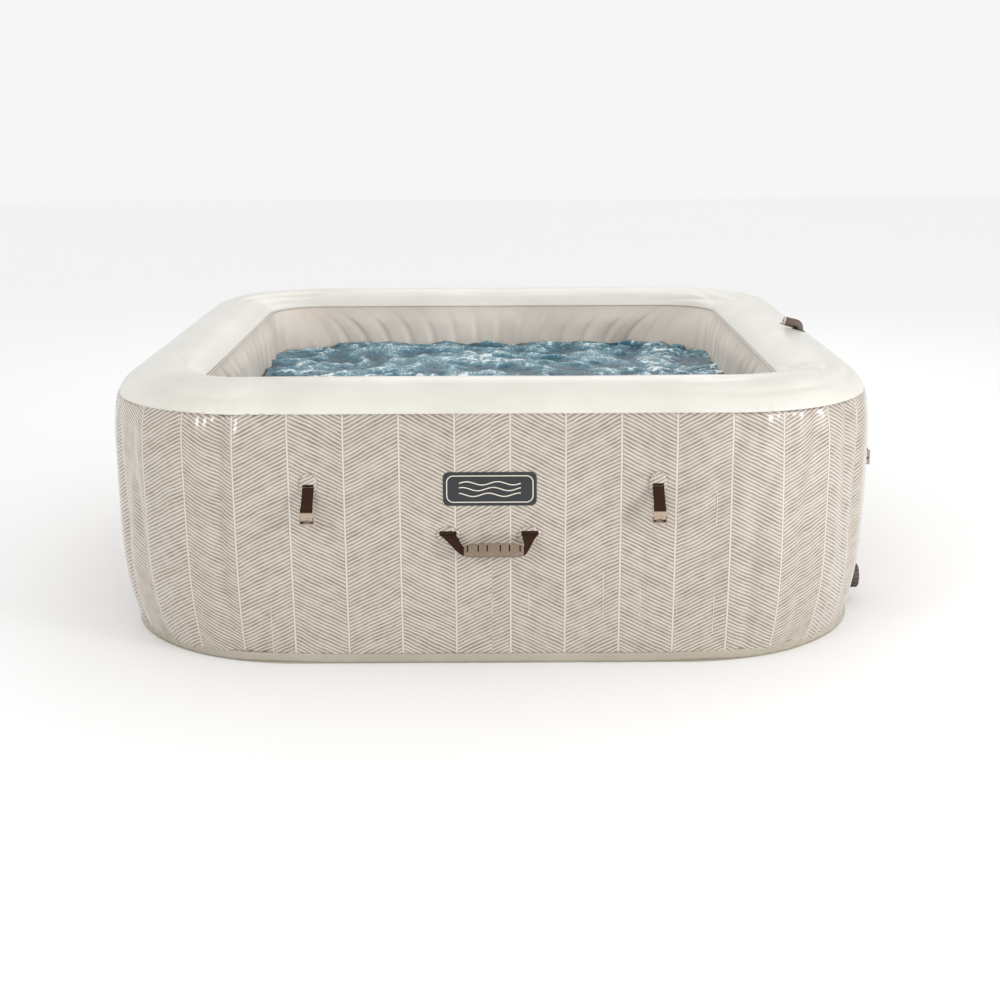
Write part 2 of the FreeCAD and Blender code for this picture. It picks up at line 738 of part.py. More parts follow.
coil.Mode = "pitch-height-angle"
coil.Pitch = 2.1
coil.Height = 8.4

valve_cap = turned(
    "inflation_valve_cap",
    valve_place,
    [(0, 1.2), (14, 1.2), (15, 2.2), (26, 2.2), (27.5, 3.5), (27.5, 7), (25.5, 9), (0, 10)],
)
doc.recompute()
tab = sketch(valve_cap, "XY", 3)
rectangle(tab, -5, 5, -33, -26)
pad(valve_cap, tab, 3)
doc.recompute()
arm = sketch(valve_cap, "YZ")
rectangle(arm, 24, cap_hinge_y, cap_hinge_z - 1.2, cap_hinge_z + 1.2, "arm")
pad(valve_cap, arm, 8, midplane=True)
doc.recompute()
knuckle = sketch(valve_cap, "YZ")
circle(knuckle, cap_hinge_y, cap_hinge_z, 2.6, "knuckle")
pad(valve_cap, knuckle, 8, midplane=True)
pocket(valve_cap, circle(sketch(valve_cap, "YZ"), cap_hinge_y, cap_hinge_z, 1.27), 12)


# ---------------------------------------------------------------- cover straps and buckles
def wall_patches(label, along, spread, width, low, high, turns):
    """Pairs of sewn patches on the walls: one drawn on the front, then repeated across and round."""
    made = body(label)
    plan = sketch(made, "XZ", size["tub_half"] + 0.3)
    left = along - spread - width / 2
    rectangle(plan, left, left + width, low, high)
    one = pad(made, plan, 1.2)
    doc.recompute()
    pattern(made, one, [linear("X_Axis", spread * 2, 2, made), polar("Z_Axis", turns, made)])


wall_patches(
    "strap_patches", size["strap_shift"], size["strap_along"], as_size(46),
    size["strap_height"] - 26, size["strap_height"] + 20, 4,
)


def strap(label, side, along):
    """Webbing from the wall to an eye round the buckle's bar, drawn hanging straight down."""
    place = on_wall(side, along, size["strap_height"])
    made = body(label, lifted(place, size["hinge_out"], size["strap_lift"]))
    gauge, width, length = size["strap_gauge"], size["strap_width"], size["strap_length"]
    flat = sketch(made, "YZ")
    rectangle(flat, -length + 3, 0, -gauge / 2, gauge / 2)
    pad(made, flat, width, midplane=True)
    eye = sketch(made, "YZ")
    circle(eye, -length, 0, 3.8, "outer")
    pad(made, eye, width, midplane=True)
    bore = sketch(made, "YZ")
    circle(bore, -length, 0, 2.06, "bore")
    pocket(made, bore, width + 2)
    return made


def buckle(label, side, along):
    """Socket half of a side-release buckle, hanging straight down from its bar, mouth down."""
    lift = math.radians(size["strap_lift"].value)
    down = size["strap_length"].value * math.cos(lift)
    out = size["hinge_out"].value + size["strap_length"].value * math.sin(lift)
    place = on_wall(side, along, size["strap_height"])
    made = body(label, place * Placement(Vector(0, -down, out), Rotation()))
    half, deep, length = size["buckle_width"] / 2, size["buckle_depth"], size["buckle_length"]
    cheek = size["strap_width"] / 2 + 0.8
    shell = sketch(made, "XY")
    outline(
        shell,
        [(-half, 3), (-half + 1, -20), (-half, -length, 60, 1), (half, -length), (half - 1, -20), (half, 3),
         (cheek, 3), (cheek, -6), (-cheek, -6), (-cheek, 3)],
    )
    pad(made, shell, deep, midplane=True)
    bar = sketch(made, "YZ")
    circle(bar, 0, 0, 2, "bar")
    pad(made, bar, size["buckle_width"] - 1, midplane=True)
    mouth = sketch(made, "XZ", length + 4)  # below the curved lip
    rectangle(mouth, -half + 4, half - 4, -4.2, 4.2)
    pocket(made, mouth, length - 6, midplane=False)
    window = sketch(made, "YZ")
    rectangle(window, -25, -16, -2.6, 2.6)
    pocket(made, window, size["buckle_width"] + 4)
    return made


for side, name in enumerate(SIDES):
    for letter, step in (("a", -1), ("b", 1)):
        along = size["strap_shift"] + size["strap_along"] * step
        strap("cover_strap_%s_%s" % (name, letter), side, along)
        buckle("cover_buckle_%s_%s" % (name, letter), side, along)


# ---------------------------------------------------------------- carry handles
wall_patches(
    "handle_patches", size["handle_shift"], as_size(100), as_size(56),
    size["handle_height"] - 24, size["handle_height"] + 24, 2,
)


def handle(name, side):
    """Webbing sewn to the wall at both ends, with a moulded grip round its middle."""
    place = on_wall(side, size["handle_shift"], size["handle_height"])
    hung = lifted(place, size["hinge_out"], size["handle_lift"])
    reach, shift = size["handle_length"], size["grip_shift"]
    left, right = shift - size["grip_width"] / 2 - 2, shift + size["grip_width"] / 2 + 2
    low, high = -reach - 13, -reach + 13
    webbing = body("handle_webbing_" + name, hung)
    flat = outline(
        sketch(webbing, "XY"),
        [(-120, 0), (left, low), (right, low), (120, 0), (81, 0), (right, high), (left, high), (-81, 0)],
    )
    pad(webbing, flat, 2, midplane=True)
    grip = body("handle_grip_" + name, hung)
    deep, tall = size["grip_depth"] / 2, size["grip_height"] / 2
    sleeve = sketch(grip, "YZ", shift)
    outline(
        sleeve,
        [(-reach - tall, -deep + 6), (-reach - tall + 6, -deep), (-reach + tall - 6, -deep),
         (-reach + tall, -deep + 6), (-reach + tall, deep - 6), (-reach + tall - 6, deep),
         (-reach - tall + 6, deep), (-reach - tall, deep - 6)],
    )
    pad(grip, sleeve, size["grip_width"], midplane=True)
    way = sketch(grip, "YZ", shift)
    rectangle(way, -reach - 13.4, -reach + 13.4, -1.4, 1.4)
    pocket(grip, way, size["grip_width"] + 4)
    slits = sketch(grip, "XY", deep)
    for k, spot in enumerate((-64, -38, -16, 16, 38, 64)):
        rectangle(slits, shift + spot - 1.2, shift + spot + 1.2, -reach - 10, -reach + 10, "slit%d" % k)
    pocket(grip, slits, 8)


handle("front", 0)
handle("back", 2)

badge = body("badge_plate", on_wall(0, size["badge_along"], size["badge_level"]))
plate = sketch(badge, "XY", 0.5)
corner = 14
wide, tall = size["badge_width"] / 2, size["badge_height"] / 2
outline(
    plate,
    [(-wide + corner, -tall), (wide - corner, -tall, corner, 1), (wide, -tall + corner),
     (wide, tall - corner, corner, 1), (wide - corner, tall), (-wide + corner, tall, corner, 1),
     (-wide, tall - corner), (-wide, -tall + corner, corner, 1)],
)
pad(badge, plate, 1.8)


# ---------------------------------------------------------------- check and write
doc.recompute()
faults = []
for thing in doc.Objects:
    if "Invalid" in thing.State or "Error" in thing.State:
        faults.append("%s in %s" % (thing.Label, thing.State))
for made in parts:
    if made.Shape.isNull() or not made.Shape.isValid():
        faults.append("%s has no valid shape" % made.Label)
if faults:
    raise SystemExit("\n".join(faults))

os.makedirs("parts", exist_ok=True)
for made in parts:
    made.Shape.exportStep("parts/%s.step" % made.Label)
    box = made.Shape.BoundBox
    print(
        "%-28s %d solids %9.0f mm3  x %.1f..%.1f y %.1f..%.1f z %.1f..%.1f"
        % (made.Label, len(made.Shape.Solids), made.Shape.Volume,
           box.XMin, box.XMax, box.YMin, box.YMax, box.ZMin, box.ZMax)
    )
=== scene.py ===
import json
import math

import bmesh
import bpy
from mathutils import Matrix, Vector, noise


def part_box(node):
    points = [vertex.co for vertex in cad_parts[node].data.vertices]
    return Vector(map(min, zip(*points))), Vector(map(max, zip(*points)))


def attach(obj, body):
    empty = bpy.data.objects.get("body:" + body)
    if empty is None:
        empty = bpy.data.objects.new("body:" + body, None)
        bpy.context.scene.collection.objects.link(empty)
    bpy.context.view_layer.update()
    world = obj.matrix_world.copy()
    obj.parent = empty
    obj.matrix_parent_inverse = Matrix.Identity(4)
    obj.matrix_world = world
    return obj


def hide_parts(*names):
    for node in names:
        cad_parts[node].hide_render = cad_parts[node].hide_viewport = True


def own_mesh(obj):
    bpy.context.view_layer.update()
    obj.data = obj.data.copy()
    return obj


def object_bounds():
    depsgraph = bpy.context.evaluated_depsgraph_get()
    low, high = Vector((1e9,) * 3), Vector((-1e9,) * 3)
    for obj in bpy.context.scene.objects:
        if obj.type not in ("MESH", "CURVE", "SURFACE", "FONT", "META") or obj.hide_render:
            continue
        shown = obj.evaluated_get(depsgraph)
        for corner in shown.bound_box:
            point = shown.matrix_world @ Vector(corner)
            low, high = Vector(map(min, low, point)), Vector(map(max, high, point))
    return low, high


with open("model.json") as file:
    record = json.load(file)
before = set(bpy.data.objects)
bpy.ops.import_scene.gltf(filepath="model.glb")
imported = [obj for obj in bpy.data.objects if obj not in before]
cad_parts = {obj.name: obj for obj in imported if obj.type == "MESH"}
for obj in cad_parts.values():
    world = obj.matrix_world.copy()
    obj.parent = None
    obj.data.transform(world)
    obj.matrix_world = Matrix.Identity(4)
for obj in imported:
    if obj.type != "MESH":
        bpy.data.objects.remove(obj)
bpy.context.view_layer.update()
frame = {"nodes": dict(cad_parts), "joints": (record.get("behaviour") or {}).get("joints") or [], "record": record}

bpy.context.scene.view_settings.view_transform = "Standard"

# Square inflatable hot tub. Metres, +Z up, hose ports on +X, badge on -Y.
jointAt = {joint["name"]: Vector(joint["pos_m"]) for joint in frame["joints"] if "pos_m" in joint}
sides = ["front", "right", "back", "left"]
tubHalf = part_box("outer_wall")[1].x
ringPlan = {"flat": 0.59, "radius": 0.41}  # half of a straight run and the corner radius, at the widest line
skinGauge = 0.0012  # every welded skin
ringColumns = 720  # columns of a skin's mesh round the tub
quarter = 2 * ringPlan["flat"] + math.pi / 2 * ringPlan["radius"]  # one side with half of both corners
perimeter = 4 * quarter


def smooth(low, high, value):
    t = max(0.0, min(1.0, (value - low) / (high - low)))
    return t * t * (3 - 2 * t)


def wander(x, y, z):
    return noise.noise(Vector((x, y, z)))


def sideFrame(spot, side):
    # X along the wall, Y up, Z out of it, with the origin at spot
    turned = Matrix.Rotation(math.pi / 2 * side, 4, "Z") @ Matrix.Rotation(math.pi / 2, 4, "X")
    return Matrix.Translation(spot) @ turned


def addPiece(name, points, faces, body, slotName, place=None, uvs=None, smoothed=True, material=None):
    # the material is the slot's own finish unless another is given
    mesh = bpy.data.meshes.new(name)
    mesh.from_pydata(points, [], faces)
    if uvs:
        layer = mesh.uv_layers.new(name="print")
        for index, pair in enumerate(uvs):
            layer.data[index].uv = pair
    mesh.polygons.foreach_set("use_smooth", [smoothed] * len(mesh.polygons))
    mesh.materials.append(material or finish[slotName])
    piece = bpy.data.objects.new(name, mesh)
    bpy.context.scene.collection.objects.link(piece)
    if place:
        piece.matrix_world = place
    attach(piece, body)
    return piece


def thicken(piece, thickness, offset=-1.0):
    layer = piece.modifiers.new("sheet", "SOLIDIFY")
    layer.thickness = thickness
    layer.offset = offset
    return piece


def soften(piece, width, weld=False):
    if weld:
        joined = piece.modifiers.new("joined", "WELD")
        joined.merge_threshold = 0.00002
    edge = piece.modifiers.new("edge", "BEVEL")
    edge.width = width
    edge.segments = 2
    edge.limit_method = "ANGLE"
    edge.angle_limit = math.radians(38)
    return piece


def faceOutwards(piece):
    whole = bmesh.new()
    whole.from_mesh(piece.data)
    bmesh.ops.recalc_face_normals(whole, faces=whole.faces)
    whole.to_mesh(piece.data)
    whole.free()


def ringColumn(u):
    # corner direction, outward direction in plan, side and place along it, for a length u round the tub
    side = int(math.floor((u + quarter / 2) / quarter)) % 4
    along = (u + quarter / 2) % quarter - quarter / 2
    flat = ringPlan["flat"]
    if abs(along) <= flat:
        reach, out = (along / flat, -1.0), (0.0, -1.0)
    else:
        turn = (abs(along) - flat) / ringPlan["radius"]
        hand = math.copysign(1.0, along)
        reach, out = (hand, -1.0), (hand * math.sin(turn), -math.cos(turn))
    for _ in range(side):
        reach, out = (-reach[1], reach[0]), (-out[1], out[0])
    return reach, out, side, along


def ringSkin(name, rows, relief, slotName, count=ringColumns, holes=(), flip=False, gauge=skinGauge):
    # rows are (half width, corner radius, height, normal out, normal up, length along the section)
    points, faces, uvs = [], [], []
    for column in range(count):
        u = perimeter * column / count
        reach, out, side, along = ringColumn(u)
        for half, radius, z, normalOut, normalUp, run in rows:
            lift = relief(u, side, along, z, run)
            x = (half - radius) * reach[0] + (radius + lift * normalOut) * out[0]
            y = (half - radius) * reach[1] + (radius + lift * normalOut) * out[1]
            points.append((x, y, z + lift * normalUp))
    deep = len(rows)
    for column in range(count):
        after = (column + 1) % count
        for row in range(deep - 1):
            above = row + 1
            face = [column * deep + row, after * deep + row, after * deep + above, column * deep + above]
            middle = [sum(points[corner][axis] for corner in face) / 4 for axis in range(3)]
            if any(middle[0] > 0.6 and math.hypot(middle[1] - y, middle[2] - z) < r for y, z, r in holes):
                continue
            u0, u1 = perimeter * column / count, perimeter * (column + 1) / count
            v0, v1 = rows[row][5], rows[above][5]
            corners = [(u0, v0), (u1, v0), (u1, v1), (u0, v1)]
            if flip:
                face.reverse()
                corners.reverse()
            faces.append(face)
            uvs += corners
    return thicken(addPiece(name, points, faces, "tub", slotName, uvs=uvs), gauge)


def strip(name, line, width, body, place, thickness, columns=6):
    # a band of webbing: line is (out, up) points in a wall's frame, width runs along the wall
    points, faces, uvs = [], [], []
    run = 0.0
    runs = []
    for index, (out, up) in enumerate(line):
        if index:
            run += math.hypot(out - line[index - 1][0], up - line[index - 1][1])
        runs.append(run)
        for column in range(columns + 1):
            across = column / columns * 2 - 1
            points.append((across * width / 2, up, out))
    for index in range(len(line) - 1):
        for column in range(columns):
            a = index * (columns + 1) + column
            faces.append((a, a + 1, a + columns + 2, a + columns + 1))
            left, right = column / columns * width, (column + 1) / columns * width
            low, high = runs[index], runs[index + 1]
            uvs += [(left, low), (right, low), (right, high), (left, high)]
    return thicken(addPiece(name, points, faces, body, "webbing", place, uvs), thickness, 0.0)


def srgb(code):
    parts = [int(code[index:index + 2], 16) / 255 for index in (1, 3, 5)]
    return [part / 12.92 if part <= 0.04045 else ((part + 0.055) / 1.055) ** 2.4 for part in parts] + [1.0]


def feed(tree, node, inputs):
    # a node given as a value links from its first output
    for socket, value in inputs:
        if isinstance(value, bpy.types.Node):
            value = value.outputs[0]
        if isinstance(value, bpy.types.NodeSocket):
            tree.links.new(value, node.inputs[socket])
        else:
            node.inputs[socket].default_value = value


def addNode(tree, kind, settings=None, inputs=None):
    # inputs go by socket name or number, or in a list
    node = tree.nodes.new("ShaderNode" + kind)
    for key, value in (settings or {}).items():
        setattr(node, key, value)
    feed(tree, node, inputs.items() if isinstance(inputs, dict) else enumerate(inputs or []))
    return node


def startMaterial(name, shaderInputs):
    material = bpy.data.materials.new(name)
    material.use_nodes = True
    tree = material.node_tree
    shader = tree.nodes["Principled BSDF"]
    feed(tree, shader, shaderInputs.items())
    return material, tree, shader


def calenderedVinyl(name, light, dark, roughness, grain=0.0011, mottle=0.35):
    # PVC sheet rolled between hot drums: soft gloss, slow tone changes, and a fine embossed grain
    material, tree, shader = startMaterial(name, {"IOR": 1.53, "Coat Weight": 0.12, "Coat Roughness": 0.3})
    where = addNode(tree, "TexCoord").outputs["Object"]
    slow = addNode(tree, "TexNoise", None, {"Vector": where, "Scale": 4.5, "Detail": 4.0, "Roughness": 0.55})
    tone = addNode(tree, "MapRange", None,
                   {"Value": slow, "From Min": 0.5 - mottle / 2, "From Max": 0.5 + mottle / 2})
    colour = addNode(tree, "Mix", {"data_type": "RGBA"}, {"Factor": tone, 6: srgb(dark), 7: srgb(light)})
    fine = addNode(tree, "TexVoronoi", None, {"Vector": where, "Scale": 1 / grain})
    soft = addNode(tree, "TexNoise", None, {"Vector": where, "Scale": 60.0, "Detail": 3.0})
    height = addNode(tree, "Math", {"operation": "MULTIPLY_ADD"}, [soft, 1.4, fine])
    bump = addNode(tree, "Bump", None, {"Height": height, "Strength": 0.12, "Distance": 0.0004})
    gloss = addNode(tree, "MapRange", None,
                    {"Value": soft, "To Min": roughness - 0.05, "To Max": roughness + 0.07})
    feed(tree, shader, {"Base Color": colour.outputs[2], "Roughness": gloss, "Normal": bump}.items())
    return material


def mouldedPlastic(name, light, dark, roughness, grain=0.0006, metallic=0.0):
    # injection-moulded polypropylene or ABS: satin skin with a spark-eroded grain, and painted shade that darkens
    # the colour in slots and hollows
    material, tree, shader = startMaterial(name, {"IOR": 1.49 if not metallic else 1.5, "Metallic": metallic})
    where = addNode(tree, "TexCoord").outputs["Object"]
    slow = addNode(tree, "TexNoise", None, {"Vector": where, "Scale": 28.0, "Detail": 3.0})
    fine = addNode(tree, "TexNoise", None, {"Vector": where, "Scale": 1 / grain, "Detail": 2.0})
    colour = addNode(tree, "Mix", {"data_type": "RGBA"}, {"Factor": slow, 6: srgb(dark), 7: srgb(light)})
    gloss = addNode(tree, "MapRange", None,
                    {"Value": slow, "To Min": roughness - 0.08, "To Max": roughness + 0.08})
    bump = addNode(tree, "Bump", None, {"Height": fine, "Strength": 0.2, "Distance": 0.00015})
    # painted shade: ambient occlusion blends the colour towards near-black #1c1613 in slots, hollows and between
    # parts
    hollow = addNode(tree, "AmbientOcclusion", {"samples": 6}, {"Distance": 0.011})
    shade = addNode(tree, "MapRange", None, {"Value": hollow.outputs["AO"], "From Min": 0.52, "From Max": 0.88})
    deep = addNode(tree, "Mix", {"data_type": "RGBA"},
                   {"Factor": shade, 6: srgb("#1c1613"), 7: colour.outputs[2]})
    feed(tree, shader, {"Base Color": deep.outputs[2], "Roughness": gloss, "Normal": bump}.items())
    return material


printLook = {
    "ground": "#cec4b8", "groundDeep": "#bfb5a8", "spine": "#cfc6ba",
    "stroke": "#7e7468", "strokeWarm": "#87796a",
    "column": 0.13511,  # width of one band of strokes
    "valley": -0.089,  # a spine that the strokes fall towards, from the middle of the front
    "pitch": 0.0098, "slope": 0.52,
}


def printedVinyl():
    # laminated PVC with a gravure-printed herringbone: pale ground, uneven brown-grey strokes, clear film
    look = printLook
    film = {"IOR": 1.53, "Coat Weight": 1.0, "Coat Roughness": 0.12}
    material, tree, shader = startMaterial("printedVinyl", film)
    uv = addNode(tree, "UVMap", {"uv_map": "print"}).outputs[0]
    split = addNode(tree, "SeparateXYZ", None, {0: uv})
    u, v = split.outputs[0], split.outputs[1]
    shifted = addNode(tree, "Math", {"operation": "SUBTRACT"}, [u, look["valley"]])
    across = addNode(tree, "Math", {"operation": "PINGPONG"}, [shifted, look["column"]])
    bandSpot = addNode(tree, "Math", {"operation": "DIVIDE"}, [shifted, look["column"]])
    band = addNode(tree, "Math", {"operation": "FLOOR"}, [bandSpot])
    drift = addNode(tree, "TexNoise", None, {"Vector": uv, "Scale": 9.0, "Detail": 2.0})
    tremble = addNode(tree, "TexNoise", None, {"Vector": uv, "Scale": 75.0, "Detail": 1.0})
    bandShift = addNode(tree, "TexWhiteNoise", {"noise_dimensions": "1D"}, {"W": band})
    rising = addNode(tree, "Math", {"operation": "MULTIPLY_ADD"}, [across, -look["slope"], v])
    strokeSpot = addNode(tree, "Math", {"operation": "DIVIDE"}, [rising, look["pitch"]])
    phase = addNode(tree, "Math", {"operation": "ADD"}, [strokeSpot, bandShift])
    phase = addNode(tree, "Math", {"operation": "MULTIPLY_ADD"}, [drift, 1.3, phase])
    phase = addNode(tree, "Math", {"operation": "MULTIPLY_ADD"}, [tremble, 0.16, phase])
    share = addNode(tree, "Math", {"operation": "FRACT"}, [phase])
    centred = addNode(tree, "Math", {"operation": "SUBTRACT"}, [share, 0.5])
    within = addNode(tree, "Math", {"operation": "ABSOLUTE"}, [centred])
    stroke = addNode(tree, "Math", {"operation": "FLOOR"}, [phase])
    number = addNode(tree, "Math", {"operation": "MULTIPLY_ADD"}, [band, 57.0, stroke])  # one for every stroke
    strokeLuck = addNode(tree, "TexWhiteNoise", {"noise_dimensions": "1D"}, {"W": number})
    broken = addNode(tree, "TexNoise", None, {"Vector": uv, "Scale": 34.0, "Detail": 3.0})
    width = addNode(tree, "Math", {"operation": "MULTIPLY_ADD"}, [strokeLuck, 0.12, 0.13])
    width = addNode(tree, "Math", {"operation": "MULTIPLY_ADD"}, [broken, 0.12, width])
    inwards = addNode(tree, "Math", {"operation": "SUBTRACT"}, [width, within])
    inside = addNode(tree, "MapRange", {"interpolation_type": "SMOOTHSTEP"},
                     {"Value": inwards, "From Min": -0.06, "From Max": 0.05})
    strength = addNode(tree, "MapRange", None, {"Value": broken, "From Min": 0.3, "From Max": 0.7, "To Min": 0.68})
    inked = addNode(tree, "Math", {"operation": "MULTIPLY"}, [inside, strength])
    farSpine = addNode(tree, "Math", {"operation": "SUBTRACT"}, [look["column"], across])
    nearSpine = addNode(tree, "Math", {"operation": "MINIMUM"}, [across, farSpine])
    spine = addNode(tree, "MapRange", {"interpolation_type": "SMOOTHSTEP"},
                    {"Value": nearSpine, "From Min": 0.0014, "From Max": 0.0028, "To Min": 1.0, "To Max": 0.0})
    offSpine = addNode(tree, "Math", {"operation": "SUBTRACT"}, [nearSpine, 0.0032])
    besideLine = addNode(tree, "Math", {"operation": "ABSOLUTE"}, [offSpine])
    besideSpine = addNode(tree, "MapRange", {"interpolation_type": "SMOOTHSTEP"},
                          {"Value": besideLine, "From Min": 0.0002, "From Max": 0.0011,
                           "To Min": 0.55, "To Max": 0.0})
    tone = addNode(tree, "TexNoise", None, {"Vector": uv, "Scale": 2.6, "Detail": 2.0})
    ground = addNode(tree, "Mix", {"data_type": "RGBA"},
                     {"Factor": tone, 6: srgb(look["groundDeep"]), 7: srgb(look["ground"])})
    ink = addNode(tree, "Mix", {"data_type": "RGBA"},
                  {"Factor": strokeLuck, 6: srgb(look["stroke"]), 7: srgb(look["strokeWarm"])})
    marked = addNode(tree, "Math", {"operation": "MAXIMUM"}, [inked, besideSpine])
    drawn = addNode(tree, "Mix", {"data_type": "RGBA"},
                    {"Factor": marked, 6: ground.outputs[2], 7: ink.outputs[2]})
    finished = addNode(tree, "Mix", {"data_type": "RGBA"},
                       {"Factor": spine, 6: drawn.outputs[2], 7: srgb(look["spine"])})
    where = addNode(tree, "TexCoord").outputs["Object"]
    grain = addNode(tree, "TexNoise", None, {"Vector": where, "Scale": 420.0, "Detail": 2.0})
    ripple = addNode(tree, "TexNoise", None, {"Vector": where, "Scale": 17.0, "Detail": 3.0})
    height = addNode(tree, "Math", {"operation": "MULTIPLY_ADD"}, [ripple, 6.0, grain])
    bump = addNode(tree, "Bump", None, {"Height": height, "Strength": 0.22, "Distance": 0.0005})
    gloss = addNode(tree, "MapRange", None, {"Value": ripple, "To Min": 0.36, "To Max": 0.5})
    feed(tree, shader, {"Base Color": finished.outputs[2], "Roughness": gloss, "Normal": bump}.items())
    return material


def wovenWebbing(name, light, dark, rib=0.0024):
    # polypropylene webbing in plain weave: ribs across its width, and a dull, dark thread
    material, tree, shader = startMaterial(name, {"Roughness": 0.8, "Specular IOR Level": 0.2})
    uv = addNode(tree, "UVMap", {"uv_map": "print"}).outputs[0]
    split = addNode(tree, "SeparateXYZ", None, {0: uv})
    warpTurn = addNode(tree, "Math", {"operation": "MULTIPLY"}, [split.outputs[0], 2 * math.pi / rib])
    weftTurn = addNode(tree, "Math", {"operation": "MULTIPLY"}, [split.outputs[1], 2 * math.pi / rib])
    warp = addNode(tree, "Math", {"operation": "SINE"}, [warpTurn])
    weft = addNode(tree, "Math", {"operation": "SINE"}, [weftTurn])
    weave = addNode(tree, "Math", {"operation": "MULTIPLY_ADD"}, [warp, weft, 0.5])
    fibre = addNode(tree, "TexNoise", None, {"Vector": uv, "Scale": 700.0, "Detail": 2.0})
    amount = addNode(tree, "Math", {"operation": "MULTIPLY"}, [weave, fibre])
    colour = addNode(tree, "Mix", {"data_type": "RGBA"}, {"Factor": amount, 6: srgb(dark), 7: srgb(light)})
    bump = addNode(tree, "Bump", None, {"Height": weave, "Strength": 0.5, "Distance": 0.0004})
    feed(tree, shader, {"Base Color": colour.outputs[2], "Normal": bump}.items())
    return material


def stirredWater():
    # bubbling, chlorinated water: teal depth, bright crests and white foam
    material, tree, shader = startMaterial("stirredWater", {"IOR": 1.333})
    foam = addNode(tree, "Attribute", {"attribute_name": "foam"}).outputs["Fac"]
    where = addNode(tree, "TexCoord").outputs["Object"]
    froth = addNode(tree, "TexNoise", None, {"Vector": where, "Scale": 120.0, "Detail": 5.0, "Roughness": 0.8})
    streak = addNode(tree, "TexNoise", None, {"Vector": where, "Scale": 21.0, "Detail": 4.0, "Distortion": 1.2})
    mixed = addNode(tree, "Math", {"operation": "MULTIPLY_ADD"}, [froth, 1.15, foam])
    mixed = addNode(tree, "Math", {"operation": "MULTIPLY_ADD"}, [streak, 0.34, mixed])
    mixed = addNode(tree, "Math", {"operation": "SUBTRACT"}, [mixed, 0.775])
    ramp = addNode(tree, "ValToRGB", None, {"Fac": mixed})
    stops = [(0.0, "#12333f"), (0.27, "#2b5c6f"), (0.46, "#568797"), (0.58, "#a3c0c8"), (0.7, "#f6f9f9")]
    for _ in range(len(stops) - 2):
        ramp.color_ramp.elements.new(0.5)
    for element, (spot, code) in zip(ramp.color_ramp.elements, stops):
        element.position = spot
        element.color = srgb(code)
    gloss = addNode(tree, "MapRange", None, {"Value": mixed, "To Min": 0.06, "To Max": 0.45})
    bump = addNode(tree, "Bump", None, {"Height": mixed, "Strength": 0.5, "Distance": 0.004})
    feed(tree, shader, {"Base Color": ramp, "Roughness": gloss, "Normal": bump}.items())
    return material


finish = {
    "printed_vinyl": printedVinyl(),
    "rim_vinyl": calenderedVinyl("glossyCreamVinyl", "#e0ddd5", "#d5d2c9", 0.3),
    "pool_vinyl": calenderedVinyl("taupePoolVinyl", "#ddd3c8", "#cbc0b4", 0.4),
    "base_vinyl": calenderedVinyl("creamBaseVinyl", "#b0a999", "#a29b8b", 0.45),
    "web_mesh": calenderedVinyl("coatedWebMesh", "#e4e0d6", "#d2cdc2", 0.6, 0.002),
    "webbing": wovenWebbing("brownPolypropyleneWebbing", "#4f2f20", "#24130b"),
    "beige_plastic": mouldedPlastic("beigeMouldedPolypropylene", "#b3a18e", "#9d8a77", 0.46),
    "badge_plastic": mouldedPlastic("charcoalMouldedAbs", "#2c2e31", "#222427", 0.38),
    "seal_rubber": mouldedPlastic("blackSealRubber", "#26262a", "#191a1c", 0.7, 0.0011),
    "spring_steel": mouldedPlastic("drawnSpringSteel", "#c3c4c6", "#a5a7aa", 0.32, 0.0004, 1.0),
    "hose_vinyl": calenderedVinyl("extrudedHoseVinyl", "#dedbd3", "#cbc8bf", 0.5),
    "light_plastic": mouldedPlastic("paleMouldedPolypropylene", "#cbc5bd", "#b8b1a7", 0.42),
    "brown_plastic": mouldedPlastic("brownMouldedPolypropylene", "#6b5c52", "#574a42", 0.44),
}
gripLook = mouldedPlastic("taupeMouldedPolypropylene", "#8f7d6c", "#776656", 0.46)
badgeInlay = mouldedPlastic("creamPadPrintedAbs", "#e6e0d5", "#d6cfc2", 0.42)
print("finishes made:", len(finish) + 2)


view = {"spot": (0.0185, -4.5160, 1.3865), "pitch": 0.2660, "yaw": 0.0006, "roll": -0.0045, "lens": 53.80}
camera = bpy.data.objects.new("camera", bpy.data.cameras.new("camera"))
camera.data.lens = view["lens"]
camera.data.sensor_width = 36
camera.matrix_world = (Matrix.Translation(view["spot"])
                       @ Matrix.Rotation(-view["yaw"], 4, "Z")
                       @ Matrix.Rotation(math.pi / 2 - view["pitch"], 4, "X")
                       @ Matrix.Rotation(view["roll"], 4, "Z"))
bpy.context.scene.collection.objects.link(camera)
bpy.context.scene.camera = camera

lights = {  # place, aimed at, size, watts
    "keyPanel": ((3.4, -3.3, 1.4), (0.3, -0.4, 0.4), 1.0, 62),
    "fillPanel": ((-2.4, -3.6, 1.45), (0, 0, 0.4), 0.7, 18),
    "backPanel": ((0.4, 3.4, 3.2), (0, 0, 0.5), 2.6, 22),
}
for name, (spot, aim, width, power) in lights.items():
    panel = bpy.data.lights.new(name, "AREA")
    panel.size = width
    panel.energy = power
    lamp = bpy.data.objects.new(name, panel)
    bpy.context.scene.collection.objects.link(lamp)
    lamp.location = spot
    lamp.rotation_euler = (Vector(aim) - Vector(spot)).to_track_quat("-Z", "Y").to_euler()

world = bpy.data.worlds.new("studio")
bpy.context.scene.world = world
world.use_nodes = True
world.node_tree.nodes["Background"].inputs["Color"].default_value = (1.0, 1.0, 1.0, 1.0)
world.node_tree.nodes["Background"].inputs["Strength"].default_value = 0.92

